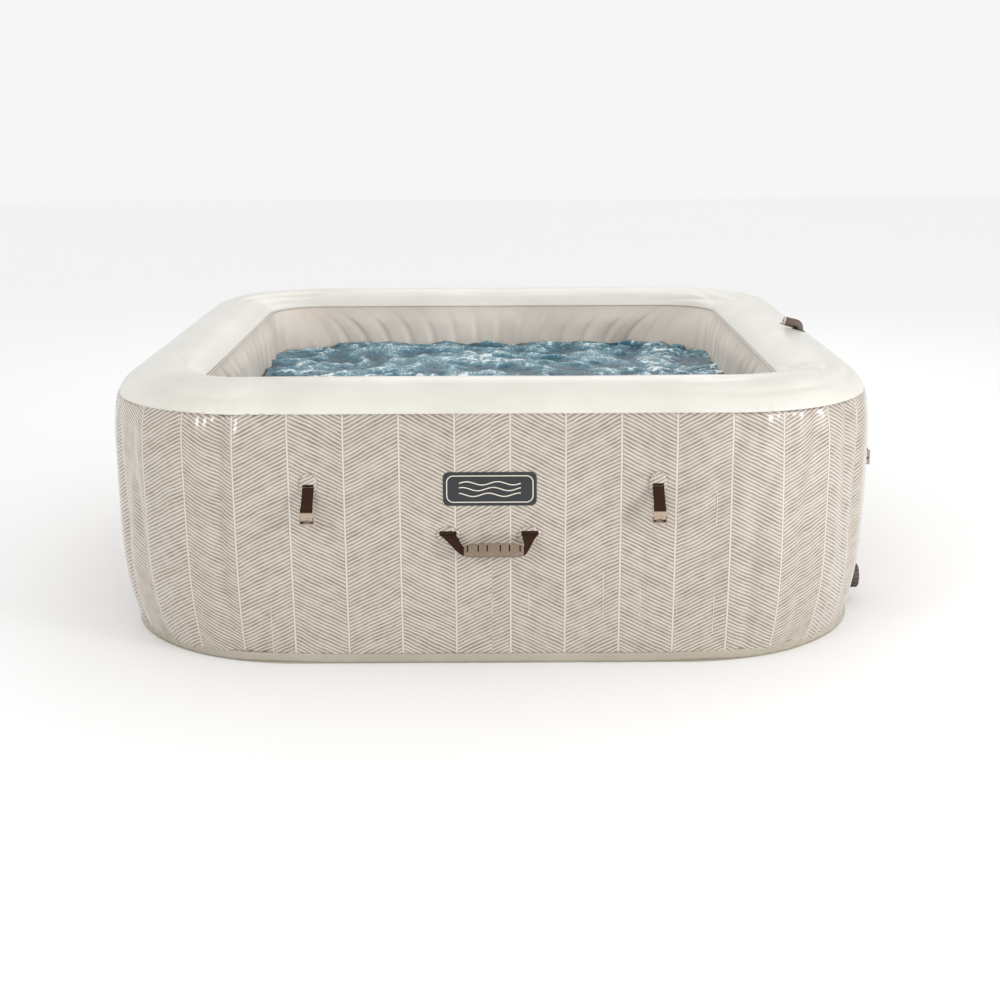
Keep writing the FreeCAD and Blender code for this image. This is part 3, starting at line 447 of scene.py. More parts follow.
floorLook, floorTree, floorShader = startMaterial("matteStudioFloor", {"Roughness": 0.9})
floorNoise = addNode(floorTree, "TexNoise", None, {"Scale": 3.0})
floorTone = addNode(floorTree, "Mix", {"data_type": "RGBA"},
                    {"Factor": floorNoise, 6: srgb("#fbfbfb"), 7: srgb("#fdfdfd")})
feed(floorTree, floorShader, {"Base Color": floorTone.outputs[2]}.items())
floorMesh = bpy.data.meshes.new("floor")
floorMesh.from_pydata([(-14, -12, 0), (14, -12, 0), (14, 16, 0), (-14, 16, 0)], [], [(0, 1, 2, 3)])
floorMesh.materials.append(floorLook)
floor = bpy.data.objects.new("floor", floorMesh)
floor.location.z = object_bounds()[0].z - 0.0005
bpy.context.scene.collection.objects.link(floor)
print("camera and light set")


wallShape = {
    "rows": 63, "foot": 0.002, "seam": 0.640, "widest": 0.40,
    "footTuck": 0.016, "cornerTuck": 0.042, "seamTuck": 0.016,
    "webPitch": 0.092, "quilt": 0.0034, "fold": 0.0125, "swell": 0.003, "pucker": 0.0052, "footPucker": 0.0032,
}
# spots where the wall lies flat behind a fitting: side, along, height, half width, half height
badgeLow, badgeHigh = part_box("badge_plate")
portSpots = [jointAt["outlet_strainer_turn"], jointAt["inlet_strainer_turn"], jointAt["drain_cap_turn"]]
valveLow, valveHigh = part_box("inflation_valve_base")
valveSpot = (valveLow + valveHigh) / 2
flatSpots = [(0, (badgeLow.x + badgeHigh.x) / 2, (badgeLow.z + badgeHigh.z) / 2, 0.15, 0.065)]
flatSpots += [(1, spot.y, spot.z, 0.065, 0.065) for spot in portSpots + [valveSpot]]
anchors = []  # side, along, height and dent of everything sewn to the wall
for side, sideName in enumerate(sides):
    turnBack = Matrix.Rotation(-math.pi / 2 * side, 3, "Z")
    for letter in "ab":
        spot = turnBack @ jointAt["strap_%s_%s_lift" % (sideName, letter)]
        anchors.append((side, spot.x, spot.z + 0.004, 0.0026))
for side, sideName in ((0, "front"), (2, "back")):
    spot = Matrix.Rotation(-math.pi / 2 * side, 3, "Z") @ jointAt[sideName + "_handle_lift"]
    anchors += [(side, spot.x + step, spot.z, 0.0022) for step in (-0.1, 0.1)]


def footTuck(along):
    # how far round the corner, as the foot is drawn in most at the middle of each corner
    return smooth(0.38, 0.912, abs(along))


def wallRelief(u, side, along, z, run):
    shape = wallShape
    corner = smooth(0.44, 0.66, abs(along))
    fade = smooth(0.0, 0.10, z) * (1 - smooth(0.54, 0.64, z))
    lift = -shape["cornerTuck"] * footTuck(along) * max(0.0, 1 - z / 0.30) ** 2.4
    lift -= shape["quilt"] * (0.5 + 0.5 * math.cos(2 * math.pi * u / shape["webPitch"])) ** 3 * fade
    crease = max(0.0, 1 - 3.2 * abs(wander(u * 6.4, z * 0.9, 3.1)))
    depth = (0.10 + 0.90 * corner) * (0.45 + 0.55 * smooth(0.0, 0.3, z)) * (1 - 0.4 * smooth(0.6, 0.64, z))
    lift -= shape["fold"] * crease ** 2 * depth
    lift += shape["swell"] * wander(u * 2.3, z * 1.9, 9.4) * fade
    gather = 0.5 + 0.5 * math.sin(2 * math.pi * (u / 0.033 + 0.9 * wander(u * 5, 0.0, 1.7)))
    patchy = smooth(-0.25, 0.45, wander(u * 3.1, 4.2, 0.0))
    lift -= shape["pucker"] * smooth(0.555, 0.638, z) * gather * patchy * (0.35 + 0.65 * corner)
    gather = 0.5 + 0.5 * math.sin(2 * math.pi * (u / 0.047 + wander(u * 4, 0.0, 5.5)))
    lift -= shape["footPucker"] * (1 - smooth(0.01, 0.10, z)) * gather * (0.4 + 0.6 * corner)
    for spotSide, spotAlong, spotHeight, depth in anchors:
        if spotSide == side:
            across, up = along - spotAlong, z - spotHeight
            far = math.hypot(across, up)
            if far < 0.16:
                rays = 0.5 + 0.5 * math.cos(5 * math.atan2(up, across) + 0.6)
                dent = math.exp(-(far / 0.062) ** 2) * (0.55 + 0.9 * rays * smooth(0.012, 0.035, far))
                lift = lift * smooth(0.01, 0.06, far) - depth * dent
    for spotSide, spotAlong, spotHeight, halfWide, halfHigh in flatSpots:
        if spotSide == side:
            lift *= smooth(0.9, 1.5, math.hypot((along - spotAlong) / halfWide, (z - spotHeight) / halfHigh))
    return lift


wallRows = []
for row in range(wallShape["rows"] + 1):
    z = wallShape["foot"] + (wallShape["seam"] - wallShape["foot"]) * row / wallShape["rows"]
    below = max(0.0, (wallShape["widest"] - z) / wallShape["widest"]) ** 3
    above = max(0.0, (z - wallShape["widest"]) / (wallShape["seam"] - wallShape["widest"])) ** 5
    half = tubHalf - wallShape["footTuck"] * below - wallShape["seamTuck"] * above
    wallRows.append((half, half - ringPlan["flat"], z, 1.0, 0.0, z))  # upright lines of the print stay upright
wallHoles = [(spot.y, spot.z, r) for spot, r in zip(portSpots + [valveSpot], (0.024, 0.024, 0.030, 0.022))]
wallSkin = ringSkin("wallSkin", wallRows, wallRelief, "printed_vinyl", holes=wallHoles)
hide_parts("outer_wall")
print("wall skin made")


rimShape = {
    "outerCentre": (0.875, 0.590), "outerRadius": 0.120, "innerCentre": (0.8753, 0.552), "innerRadius": 0.158,
    "innerEdge": (0.760, 0.660), "steps": 19, "pucker": 0.0044, "crease": 0.0062,
}
seamSpot = (tubHalf - wallShape["seamTuck"], wallShape["seam"])


def rimRows():
    # two arcs that meet at the crown: one up from the wall's seam, one down to the pool's edge
    rows, run = [], 0.0
    shape = rimShape
    outerX, outerZ = shape["outerCentre"]
    innerX, innerZ = shape["innerCentre"]
    crown = math.pi / 2
    startTurn = math.atan2(seamSpot[1] - outerZ, seamSpot[0] - outerX)
    endTurn = math.atan2(shape["innerEdge"][1] - innerZ, shape["innerEdge"][0] - innerX)
    for step in range(shape["steps"] + 1):
        turn = startTurn + (crown - startTurn) * step / shape["steps"]
        radius = shape["outerRadius"]
        rows.append((outerX + radius * math.cos(turn), outerZ + radius * math.sin(turn), turn))
    for step in range(1, shape["steps"] + 1):
        turn = crown + (endTurn - crown) * step / shape["steps"]
        radius = shape["innerRadius"]
        rows.append((innerX + radius * math.cos(turn), innerZ + radius * math.sin(turn), turn))
    made, before = [], rows[0]
    for x, z, turn in rows:
        run += math.hypot(x - before[0], z - before[1])
        before = (x, z)
        made.append((x, x - ringPlan["flat"], z, math.cos(turn), math.sin(turn), run))
    return made


rimSections = rimRows()
rimRun = rimSections[-1][5]
airLow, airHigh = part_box("air_inlet_flange")
airSpot = (airLow + airHigh) / 2


def rimRelief(u, side, along, z, run):
    shape = rimShape
    corner = smooth(0.40, 0.66, abs(along))
    outerEdge = math.exp(-run / 0.034)
    poolEdge = math.exp(-(rimRun - run) / 0.026)
    gather = 0.5 + 0.5 * math.sin(2 * math.pi * (u / 0.037 + 0.9 * wander(u * 5, 2.0, 1.7)))
    patchy = smooth(-0.3, 0.4, wander(u * 3.1, 4.2, 0.0))
    edges = outerEdge * (0.3 + 0.7 * corner) + 0.8 * poolEdge * (0.35 + 0.65 * corner)
    lift = -shape["pucker"] * gather * patchy * edges
    line = max(0.0, 1 - 3.4 * abs(wander(u * 1.7, run * 16, 6.3)))
    clear = smooth(0.0, 0.05, run) * smooth(0.0, 0.05, rimRun - run)
    lift -= shape["crease"] * line ** 2 * (0.14 + 0.86 * corner) * clear
    lift += 0.0022 * wander(u * 3.3, run * 6, 2.2) * smooth(0.0, 0.06, run) * smooth(0.0, 0.06, rimRun - run)
    if side == 1:
        lift *= smooth(0.03, 0.09, math.hypot(along - airSpot.y, run - rimRun * 0.45))
    return lift


rimSkin = ringSkin("rimSkin", rimSections, rimRelief, "rim_vinyl")
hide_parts("rim")
print("rim skin made")


poolShape = {
    "rows": 46, "pleat": 0.098, "bulge": 0.017, "waterLine": 0.522, "floorCorner": 0.300,
    "sections": [(0.002, 0.733, 0.300), (0.256, 0.730, 0.300), (0.512, 0.735, 0.280), (0.660, 0.760, 0.170)],
}


def poolSection(z):
    rows = poolShape["sections"]
    for low, high in zip(rows, rows[1:]):
        if z <= high[0]:
            t = (z - low[0]) / (high[0] - low[0])
            bend = t * t if high is rows[-1] else smooth(0, 1, t)
            return low[1] + (high[1] - low[1]) * bend, low[2] + (high[2] - low[2]) * bend
    return rows[-1][1], rows[-1][2]


def poolRelief(u, side, along, z, run):
    shape = poolShape
    corner = smooth(0.5, 0.75, abs(along))
    spot = u / shape["pleat"] + 0.22 * wander(u * 2, 0.0, 8.0)
    away = abs(spot - round(spot)) * shape["pleat"]
    pleat = (1 - math.exp(-(away / 0.013) ** 2)) * (0.8 + 0.2 * smooth(0.0, 0.05, away))
    fade = smooth(0.0, 0.12, z) * (1 - 0.85 * smooth(0.60, 0.652, z))
    fullness = (1 - 0.45 * corner) * (0.55 + 0.45 * smooth(-0.2, 0.3, wander(u * 1.3, 0.0, 7.7)))
    lift = -shape["bulge"] * pleat * fade * fullness
    crease = max(0.0, 1 - 3.0 * abs(wander(u * 7, z * 2.5, 12.1)))
    return lift - 0.004 * crease ** 2 * smooth(0.0, 0.1, z) * (1 - smooth(0.61, 0.655, z))


poolRows = []
for row in range(poolShape["rows"] + 1):
    t = row / poolShape["rows"]
    z = 0.002 + 0.658 * (1 - (1 - t) ** 1.5)  # finer near the rim
    half, radius = poolSection(z)
    poolRows.append((half, radius, z, 1.0, 0.0, z))
poolHoles = [(spot.y, spot.z, r) for spot, r in zip(portSpots, (0.026, 0.026, 0.022))]
poolSkin = ringSkin("poolSkin", poolRows, poolRelief, "pool_vinyl", holes=poolHoles, flip=True)
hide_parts("inner_wall_sides", "inner_wall_corners")
print("pool skin made")


footShape = {
    "proud": 0.0045, "columns": 520, "sheetCorner": 0.495,
    # height and flare of the band's rows
    "rows": ((0.0022, -0.0006), (0.007, 0.0004), (0.013, 0.0008),
             (0.019, 0.0008), (0.0235, 0.0004), (0.0262, -0.0012)),
}


def bandRelief(u, side, along, z, run):
    ripple = 0.0009 * math.sin(2 * math.pi * (u / 0.052 + wander(u * 3, 0, 0)))
    return -wallShape["cornerTuck"] * footTuck(along) + 0.0011 * wander(u * 7, z * 12, 0.4) + ripple


bandHalf = tubHalf - wallShape["footTuck"] + footShape["proud"]
bandRows = []
for z, flare in footShape["rows"]:
    half = bandHalf + flare
    bandRows.append((half, half - ringPlan["flat"], z, 1.0, 0.0, z))
footBand = ringSkin("footBand", bandRows, bandRelief, "base_vinyl", footShape["columns"])
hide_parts("base_band")


def squareSheet(name, half, radius, z, steps, relief, slotName, thickness, material=None):
    # a grid of squares pushed out to a rounded square
    points, faces = [], []
    for row in range(steps + 1):
        for column in range(steps + 1):
            a, b = 2 * column / steps - 1, 2 * row / steps - 1
            level = max(abs(a), abs(b))
            if level < 1e-9:
                points.append((0.0, 0.0, z + relief(0.0, 0.0, 0.0)))
                continue
            x, y = edgePoint(a / level, b / level, half, radius)
            points.append((x * level, y * level, z + relief(x * level, y * level, level)))
    for row in range(steps):
        for column in range(steps):
            a = row * (steps + 1) + column
            faces.append((a, a + 1, a + steps + 2, a + steps + 1))
    return thicken(addPiece(name, points, faces, "tub", slotName, material=material), thickness)


def edgePoint(a, b, half, radius):
    # a point of the rounded square for a point of the plain square's edge
    inner = half - radius
    x, y = a * half, b * half
    if abs(x) > inner and abs(y) > inner:
        turn = math.atan2(abs(y) - inner, abs(x) - inner)
        x = math.copysign(inner + radius * math.cos(turn), x)
        y = math.copysign(inner + radius * math.sin(turn), y)
    return x, y


def flatSheet(x, y, level):
    return 0.0


def floorWaves(x, y, level):
    return -0.0007 * (0.5 + 0.5 * math.cos(x / 0.09 * 2 * math.pi)) * (1 - level ** 8)


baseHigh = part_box("base_sheet")[1]
baseSkin = squareSheet("baseSkin", bandHalf - 0.001, footShape["sheetCorner"], baseHigh.z, 72, flatSheet,
                       "base_vinyl", 0.0016)
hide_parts("base_sheet")
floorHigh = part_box("floor_sheet")[1]
floorSkin = squareSheet("poolFloor", floorHigh.x, poolShape["floorCorner"], floorHigh.z, 90, floorWaves,
                        "pool_vinyl", skinGauge)
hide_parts("floor_sheet")

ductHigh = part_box("bubble_ring")[1]
ductShape = {
    "wide": 0.056, "tall": ductHigh.z - 0.0045, "flange": 0.006, "straight": 0.433,
    "columns": 480, "gauge": 0.0009,
}


def ductRelief(u, side, along, z, run):
    return 0.0012 * wander(u * 9, run * 30, 1.0) * (1 if z > 0.008 else 0)


def ductRow(half, z, out, up, run):
    return half, half - ductShape["straight"], z, out, up, run


ductRows = [ductRow(ductHigh.x, 0.0043, 0, 1, -0.006)]
for step in range(15):
    turn = math.pi * step / 14
    half = ductHigh.x - ductShape["flange"] - ductShape["wide"] / 2 + ductShape["wide"] / 2 * math.cos(turn)
    rise = ductShape["tall"] * math.sin(turn) ** 0.75
    ductRows.append(ductRow(half, 0.0046 + rise, math.cos(turn), math.sin(turn), step * 0.006))
ductRows.append(ductRow(ductHigh.x - 2 * ductShape["flange"] - ductShape["wide"], 0.0043, 0, 1, 0.09))
bubbleDuct = ringSkin("bubbleDuct", ductRows, ductRelief, "pool_vinyl", ductShape["columns"],
                      gauge=ductShape["gauge"])
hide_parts("bubble_ring")
print("base, floor and bubble duct made")


waterShape = {"steps": 196, "deep": 0.030}


def waveHeight(x, y, level):
    sway = Vector((x * 3.1, y * 3.1, 0.7))
    bent = Vector((x + 0.10 * noise.noise(sway), y + 0.10 * noise.noise(sway + Vector((5.2, 1.3, 0))), 0.0))
    big = 1 - 2 * abs(noise.noise(bent * 6.5))
    middle = 1 - 2 * abs(noise.noise(bent * 15 + Vector((3, 7, 1))))
    small = 1 - 2 * abs(noise.noise(bent * 34 + Vector((9, 2, 4))))
    return 0.012 * big + 0.0085 * middle * (0.55 + 0.45 * big) + 0.0035 * small


half, radius = poolSection(poolShape["waterLine"])
water = squareSheet("bubblingWater", half - poolShape["bulge"] * 0.55, radius, poolShape["waterLine"],
                    waterShape["steps"], waveHeight, "pool_vinyl", waterShape["deep"], stirredWater())
foam = water.data.attributes.new("foam", "FLOAT", "POINT")
values = []
for vertex in water.data.vertices:
    x, y, z = vertex.co
    crest = smooth(0.002, 0.024, z - poolShape["waterLine"])
    patch = smooth(-0.1, 0.5, wander(x * 3.2, y * 3.2, 2.5))
    lace = 1 - smooth(0.0, 0.16, abs(wander(x * 22, y * 22, 5.5)))
    values.append(0.15 + 0.42 * crest + 0.34 * lace * (0.35 + 0.65 * patch))
foam.data.foreach_set("value", values)
print("water made")


strapShape = {"width": 0.028, "gauge": 0.0015, "tab": 0.006, "patchWide": 0.023, "patchHigh": 0.030}


def lensPatch(name, halfWide, halfHigh, place, shift):
    # a welded almond-shaped patch of the same printed sheet, its print not lined up with the wall's
    points, faces, uvs = [(0, 0, 0.0011)], [], []
    rings, spokes = 4, 40
    for ring in range(1, rings + 1):
        for spoke in range(spokes):
            turn = 2 * math.pi * spoke / spokes
            t = ring / rings
            wide = halfWide * t * math.copysign(abs(math.cos(turn)) ** 1.15, math.cos(turn))
            high = halfHigh * t * math.sin(turn)
            points.append((wide, high, 0.0011 - 0.0007 * t ** 4))
    for ring in range(rings):
        for spoke in range(spokes):
            after = (spoke + 1) % spokes
            if ring == 0:
                face = (0, 1 + spoke, 1 + after)
            else:
                inner, outer = 1 + (ring - 1) * spokes, 1 + ring * spokes
                face = (inner + spoke, outer + spoke, outer + after, inner + after)
            faces.append(face)
            uvs += [(points[corner][0] + shift, points[corner][1] + shift * 1.7) for corner in face]
    patch = addPiece(name, points, faces, "tub", "base_vinyl", place, uvs, material=finish["printed_vinyl"])
    return thicken(patch, 0.0008)


def strapLine(toBar):
    # the webbing's middle line: off the wall, round the bar and back under itself
    bar = Vector(toBar)
    away = bar.normalized()
    over = Vector((-away.y, away.x))
    if over.y < 0:
        over.negate()
    loop = 0.0034
    start = Vector((-0.0006, 0.0008))
    leaving = start + Vector((0.0035, -0.012))
    arrive = bar + over * loop - away * 0.004
    landing = arrive - away * 0.018 + over * 0.001
    line = []
    for step in range(15):
        t = step / 14
        line.append((1 - t) ** 3 * start + 3 * (1 - t) ** 2 * t * leaving
                    + 3 * (1 - t) * t * t * landing + t ** 3 * arrive)
    for step in range(13):
        turn = math.pi * step / 12
        line.append(bar + over * loop * math.cos(turn) + away * loop * math.sin(turn))
    for step in range(1, 9):
        t = step / 8
        line.append(bar - away * (0.026 * t) - over * (loop - 0.0050 * smooth(0, 1, t * 1.3)))
    return [(point.x, point.y) for point in line]


def seamStitches(name, place, spots):
    # short rounded threads standing just proud of the webbing
    points, faces = [], []
    long, wide, tall = 0.0013, 0.00035, 0.0004
    for x, y, z in spots:
        base = len(points)
        points += [(x - long, y, z), (x, y - wide, z), (x + long, y, z), (x, y + wide, z),
                   (x - long / 2, y, z + tall), (x + long / 2, y, z + tall)]
        for face in ((0, 1, 4), (1, 5, 4), (1, 2, 5), (2, 3, 5), (3, 4, 5), (3, 0, 4), (0, 3, 2, 1)):
            faces.append([base + corner for corner in face])
    addPiece(name, points, faces, "tub", "webbing", place, material=threadLook)


buckleShape = {
    "deep": 0.0128, "edge": 0.0005,
    "outline": ((-17.5, 3), (-17, -20), (-18, -33), (-16.5, -37.4), (16.5, -37.4), (18, -33),
                (17, -20), (17.5, 3), (14.9, 3), (14.9, -6), (-14.9, -6), (-14.9, 3)),
    # blocks cut away: middle (x, y, z), size (x, y, z), turned in the front's plane by degrees
    "cuts": (((0, -25.5, 0), (27, 31, 8.4), 0), ((0, -29.4, 6), (32, 7.2, 6), 0), ((0, -25.4, 6), (9, 3, 6), 0),
             ((17.2, -20, 0), (7, 7.5, 20), 24), ((-17.2, -20, 0), (7, 7.5, 20), -24),
             ((3.5, -18.5, 6.4), (2.2, 2.2, 3), 45)),
    "barHalf": 0.0152, "barRadius": 0.002,
}


def cutBlocks(piece, blocks, place):
    # takes turned blocks out of a piece and leaves a plain mesh; the blocks are in millimetres
    tool = bmesh.new()
    for (x, y, z), (wide, high, deep), turned in blocks:
        made = bmesh.ops.create_cube(tool, size=0.001)["verts"]
        bmesh.ops.scale(tool, vec=(wide, high, deep), verts=made)
        bmesh.ops.rotate(tool, cent=(0, 0, 0), matrix=Matrix.Rotation(math.radians(turned), 3, "Z"), verts=made)
        bmesh.ops.translate(tool, vec=(x / 1000, y / 1000, z / 1000), verts=made)
    mesh = bpy.data.meshes.new("cutter")
    tool.to_mesh(mesh)
    tool.free()
    cutter = bpy.data.objects.new("cutter", mesh)
    bpy.context.scene.collection.objects.link(cutter)
    cutter.matrix_world = place
    cut = piece.modifiers.new("cuts", "BOOLEAN")
    cut.operation, cut.object, cut.solver, cut.use_self = "DIFFERENCE", cutter, "EXACT", True
    bpy.context.view_layer.update()
    ready = bpy.data.meshes.new_from_object(piece.evaluated_get(bpy.context.evaluated_depsgraph_get()))
    piece.modifiers.clear()
    piece.data = ready
    bpy.data.objects.remove(cutter)
    return piece


def buckleShell(name, body, place):
    # socket half of a side-release buckle: hollow shell, slot over its mouth, side windows and a round bar
    shape = buckleShape
    corners = [(x / 1000, y / 1000) for x, y in shape["outline"]]
    count = len(corners)
    points = [(x, y, -shape["deep"] / 2) for x, y in corners] + [(x, y, shape["deep"] / 2) for x, y in corners]
    faces = [list(range(count)), list(range(2 * count - 1, count - 1, -1))]
    for index in range(count):
        after = (index + 1) % count
        faces.append((index, index + count, after + count, after))
    base, around = len(points), 16
    for end in (-shape["barHalf"], shape["barHalf"]):
        for spoke in range(around):
            turn = 2 * math.pi * spoke / around
            points.append((end, shape["barRadius"] * math.cos(turn), shape["barRadius"] * math.sin(turn)))
    for k in range(around):
        after = (k + 1) % around
        faces.append((base + k, base + around + k, base + around + after, base + after))
    faces += [[base + k for k in range(around)], [base + around + k for k in range(around - 1, -1, -1)]]
    buckle = addPiece(name, points, faces, body, "beige_plastic", place, smoothed=False)
    faceOutwards(buckle)
    return soften(cutBlocks(buckle, shape["cuts"], place), shape["edge"])


threadLook = wovenWebbing("brownBondedThread", "#6a5140", "#3d2c22", 0.0009)
patchDepth = -0.0034  # the wall's face, from the joint's axis
tabGauge = 0.0018
for side, sideName in enumerate(sides):
    for letter in "ab":
        tag = "%s_%s" % (sideName, letter)
        pivot, bar = jointAt["strap_%s_lift" % tag], jointAt["buckle_%s_swing" % tag]
        place = sideFrame(pivot, side)
        reach = place.inverted() @ bar
        line = strapLine((reach.z, reach.y))
        strap = strip("coverStrap_" + tag, line, strapShape["width"], "strap_" + tag, place, strapShape["gauge"])
        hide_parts("cover_strap_" + tag)
        buckle = buckleShell("coverBuckle_" + tag, "buckle_" + tag, sideFrame(bar, side))
        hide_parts("cover_buckle_" + tag)
        onWall = patchDepth + 0.0008
        tabLine = [(onWall + 0.0007 + 0.0009 * math.sin(math.pi * t / 8),
                    0.0020 + (strapShape["tab"] - 0.001) * t / 8) for t in range(9)]
        strip("strapTab_" + tag, tabLine, strapShape["width"] - 0.001, "tub", place, tabGauge)
        spots = [(-0.0105 + 0.0035 * step, 0.0045, onWall + 0.0025) for step in range(7)]
        seamStitches("strapStitch_" + tag, place, spots)
        wallPlace = place @ Matrix.Translation((0, 0.006, patchDepth))
        lensPatch("strapPatch_" + tag, strapShape["patchWide"], strapShape["patchHigh"],
                                 wallPlace, 0.021 + 0.013 * side)
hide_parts("strap_patches")
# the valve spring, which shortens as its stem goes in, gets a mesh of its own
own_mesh(bpy.data.objects["inflation_valve_spring"])
print("straps made")


handleShape = {
    "lift": 50, "reach": 0.046, "gripShift": 0.012, "gripWide": 0.146, "gripHigh": 0.035, "gripDeep": 0.018,
    "bandHalf": 0.013, "outer": 0.120, "inner": 0.081, "gauge": 0.0018, "slits": (-64, -38, -16, 16, 38, 64),
    "anchor": 0.1005, "patchWide": 0.030, "patchHigh": 0.021, "tabWide": 0.042,
}


def handleBand(name, body, place):
    # webbing from one anchor, down through the grip and back up to the other
    shape = handleShape
    left = shape["gripShift"] - shape["gripWide"] / 2 - 0.002
    right = shape["gripShift"] + shape["gripWide"] / 2 + 0.002
    low, high = -shape["reach"] - shape["bandHalf"], -shape["reach"] + shape["bandHalf"]
    stations = [((-shape["outer"], 0.0), (-shape["inner"], 0.0)), ((left, low), (left, high)),
                ((right, low), (right, high)), ((shape["outer"], 0.0), (shape["inner"], 0.0))]
    steps = (14, 12, 14)
    points, faces, uvs, across = [], [], [], 6
    rows = []
    for part, count in enumerate(steps):
        for step in range(count + (part == 2)):
            rows.append((part, step / count))
    for part, t in rows:
        ease = smooth(0, 1, t) if part != 1 else t
        (ax, ay), (bx, by) = stations[part]
        (cx, cy), (dx, dy) = stations[part + 1]
        for column in range(across + 1):
            s = column / across
            x0, y0 = ax + (cx - ax) * t, ay + (cy - ay) * (0.55 * t + 0.45 * ease)
            x1, y1 = bx + (dx - bx) * t, by + (dy - by) * (0.55 * t + 0.45 * ease)
            bow = 0.0025 * math.sin(math.pi * t) * (1 if part != 1 else 0) * (2 * s - 1)
            points.append((x0 + (x1 - x0) * s, y0 + (y1 - y0) * s, bow))
    for row in range(len(rows) - 1):
        for column in range(across):
            a = row * (across + 1) + column
            faces.append((a, a + across + 1, a + across + 2, a + 1))
            uvs += [(column * 0.0043, row * 0.006), (column * 0.0043, row * 0.006 + 0.006),
                    ((column + 1) * 0.0043, row * 0.006 + 0.006), ((column + 1) * 0.0043, row * 0.006)]
    return thicken(addPiece(name, points, faces, body, "webbing", place, uvs), shape["gauge"], 0.0)


def gripShell(name, body, place):
    # soft-edged bar, a little arched and slimmer at its ends, with finger slits cut through the top skin
    shape = handleShape
    points, faces = [], []
    along, around = 44, 28
    for step in range(along + 1):
        t = step / along * 2 - 1
        ends = (1 - abs(t) ** 9) ** 0.5 if abs(t) < 1 else 0.0
        squeeze = 0.86 + 0.14 * ends
        deep = shape["gripDeep"] / 2 * (0.55 + 0.45 * ends) * (1 - 0.08 * t * t)
        high = shape["gripHigh"] / 2 * squeeze * (1 - 0.16 * smooth(0.62, 1.0, abs(t)))
        arch = 0.0022 * (1 - t * t)
        for spoke in range(around):
            turn = 2 * math.pi * spoke / around
            power = 0.42
            y = high * math.copysign(abs(math.cos(turn)) ** power, math.cos(turn))
            z = deep * math.copysign(abs(math.sin(turn)) ** power, math.sin(turn))
            points.append((shape["gripShift"] + t * shape["gripWide"] / 2, -shape["reach"] + arch + y, z))
    for step in range(along):
        for spoke in range(around):
            after = (spoke + 1) % around
            a, b = step * around, (step + 1) * around
            faces.append((a + spoke, a + after, b + after, b + spoke))
    faces.append(list(range(around - 1, -1, -1)))
    faces.append([along * around + spoke for spoke in range(around)])
    grip = addPiece(name, points, faces, body, "beige_plastic", place, material=gripLook)
    slitLevel = -shape["reach"] * 1000 + 2
    slits = [((shape["gripShift"] * 1000 + spot, slitLevel, 7), (3.2, 19, 9), 0) for spot in shape["slits"]]
    cutBlocks(grip, slits, place)
    return soften(grip, 0.0006)


for side, sideName in ((0, "front"), (2, "back")):
    body = sideName + "_handle"
    wallPlace = sideFrame(jointAt[body + "_lift"], side)
    place = wallPlace @ Matrix.Rotation(-math.radians(handleShape["lift"]), 4, "X")
    band = handleBand("handleBand_" + sideName, body, place)
    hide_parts("handle_webbing_" + sideName)
    grip = gripShell("handleGrip_" + sideName, body, place)
    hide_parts("handle_grip_" + sideName)
    for hand, tag in ((-1, "a"), (1, "b")):
        spot = wallPlace @ Matrix.Translation((hand * handleShape["anchor"], 0.0, patchDepth))
        name = "handlePatch_%s_%s" % (sideName, tag)
        lensPatch(name, handleShape["patchWide"], handleShape["patchHigh"],
                                       spot, 0.034 + 0.02 * side)
        tabLine = [(0.0012 + 0.0008 * math.sin(math.pi * t / 6), -0.001 + 0.011 * t / 6) for t in range(7)]
        strip("handleTab_%s_%s" % (sideName, tag), tabLine, handleShape["tabWide"], "tub", spot, tabGauge, 10)
        spots = [(-0.018 + 0.0036 * n, 0.006, 0.0028) for n in range(11)]
        seamStitches("handleStitch_%s_%s" % (sideName, tag), spot, spots)
    if side == 0:
        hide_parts("handle_patches")
print("handles made")


badgeShape = {
    "inset": 0.009, "corner": 0.016, "raised": 0.0011, "waves": ((0.018, 0.0), (0.0, 0.9), (-0.018, 1.8)),
}


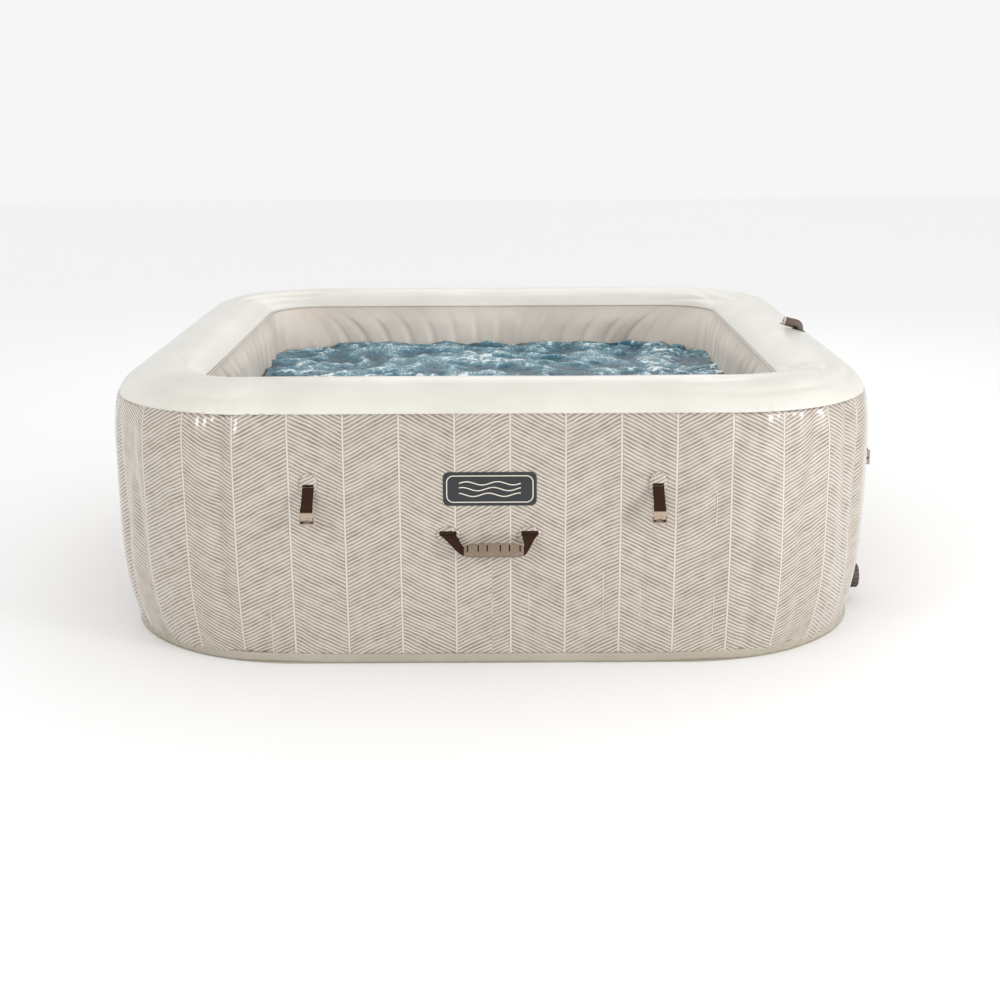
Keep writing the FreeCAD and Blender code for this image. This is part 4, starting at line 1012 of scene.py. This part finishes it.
def badgeRelief():
    # a raised border and three plain wave lines on the badge
    wide = (badgeHigh.x - badgeLow.x) / 2 - badgeShape["inset"]
    high = (badgeHigh.z - badgeLow.z) / 2 - badgeShape["inset"]
    points, faces = [], []

    def ridge(line, halfWidth, closed):
        base, count = len(points), len(line)
        for index, (x, y) in enumerate(line):
            before = line[index - 1] if closed or index else line[0]
            after = line[(index + 1) % count] if closed or index < count - 1 else line[-1]
            run = Vector((after[0] - before[0], after[1] - before[1])).normalized()
            side = Vector((-run.y, run.x)) * halfWidth
            for share, lift in ((1, 0.0), (0.7, 0.8), (0.0, 1.0), (-0.7, 0.8), (-1, 0.0)):
                points.append((x + side.x * share, y + side.y * share, badgeShape["raised"] * lift))
        for index in range(count if closed else count - 1):
            here, there = base + index * 5, base + (index + 1) % count * 5
            for share in range(4):
                faces.append((here + share, here + share + 1, there + share + 1, there + share))
            faces.append((here + 4, here, there, there + 4))
        if not closed:
            faces.append([base + share for share in range(5)][::-1])
            faces.append([base + (count - 1) * 5 + share for share in range(5)])

    border = []
    corner = badgeShape["corner"]
    for handX, handY, start in ((1, 1, 0), (-1, 1, 90), (-1, -1, 180), (1, -1, 270)):
        for step in range(9):
            turn = math.radians(start + 90 * step / 8)
            border.append((handX * (wide - corner) + corner * math.cos(turn),
                           handY * (high - corner) + corner * math.sin(turn)))
    ridge(border, 0.0016, True)
    for level, phase in badgeShape["waves"]:
        wave = []
        for t in range(49):
            swing = 0.0042 * math.sin(t / 12 * math.pi + phase)
            wave.append((wide * (1.44 * t / 48 - 0.72), level * 0.8 + swing))
        ridge(wave, 0.0017, False)
    middle = (badgeLow + badgeHigh) / 2
    place = sideFrame(Vector((middle.x, badgeLow.y - 0.0001, middle.z)), 0)
    piece = addPiece("badgeRelief", points, faces, "tub", "badge_plastic", place, material=badgeInlay)
    faceOutwards(piece)


badgeRelief()
print("badge made")


slotOf = {part["node"]: part["material_slot"] for part in frame["record"]["subparts"]}
softEdges = {
    "badge_plate": 0.0007, "air_inlet": 0.0008, "water_": 0.0008, "drain_": 0.0009, "inflation_valve_c": 0.0008,
}
kept = [name for name, node in frame["nodes"].items() if not node.hide_render]
for name in kept:
    node = frame["nodes"][name]
    material = finish[slotOf[name]]
    if name == "inner_seam_bead":
        material = finish["pool_vinyl"]
    if name == "inflation_valve_cap":
        material = finish["brown_plastic"]
    node.data.materials.clear()
    node.data.materials.append(material)
    for start, width in softEdges.items():
        if name.startswith(start):
            soften(node, width, weld=True)
print("carried-over nodes finished:", len(kept))

print("scene ready")
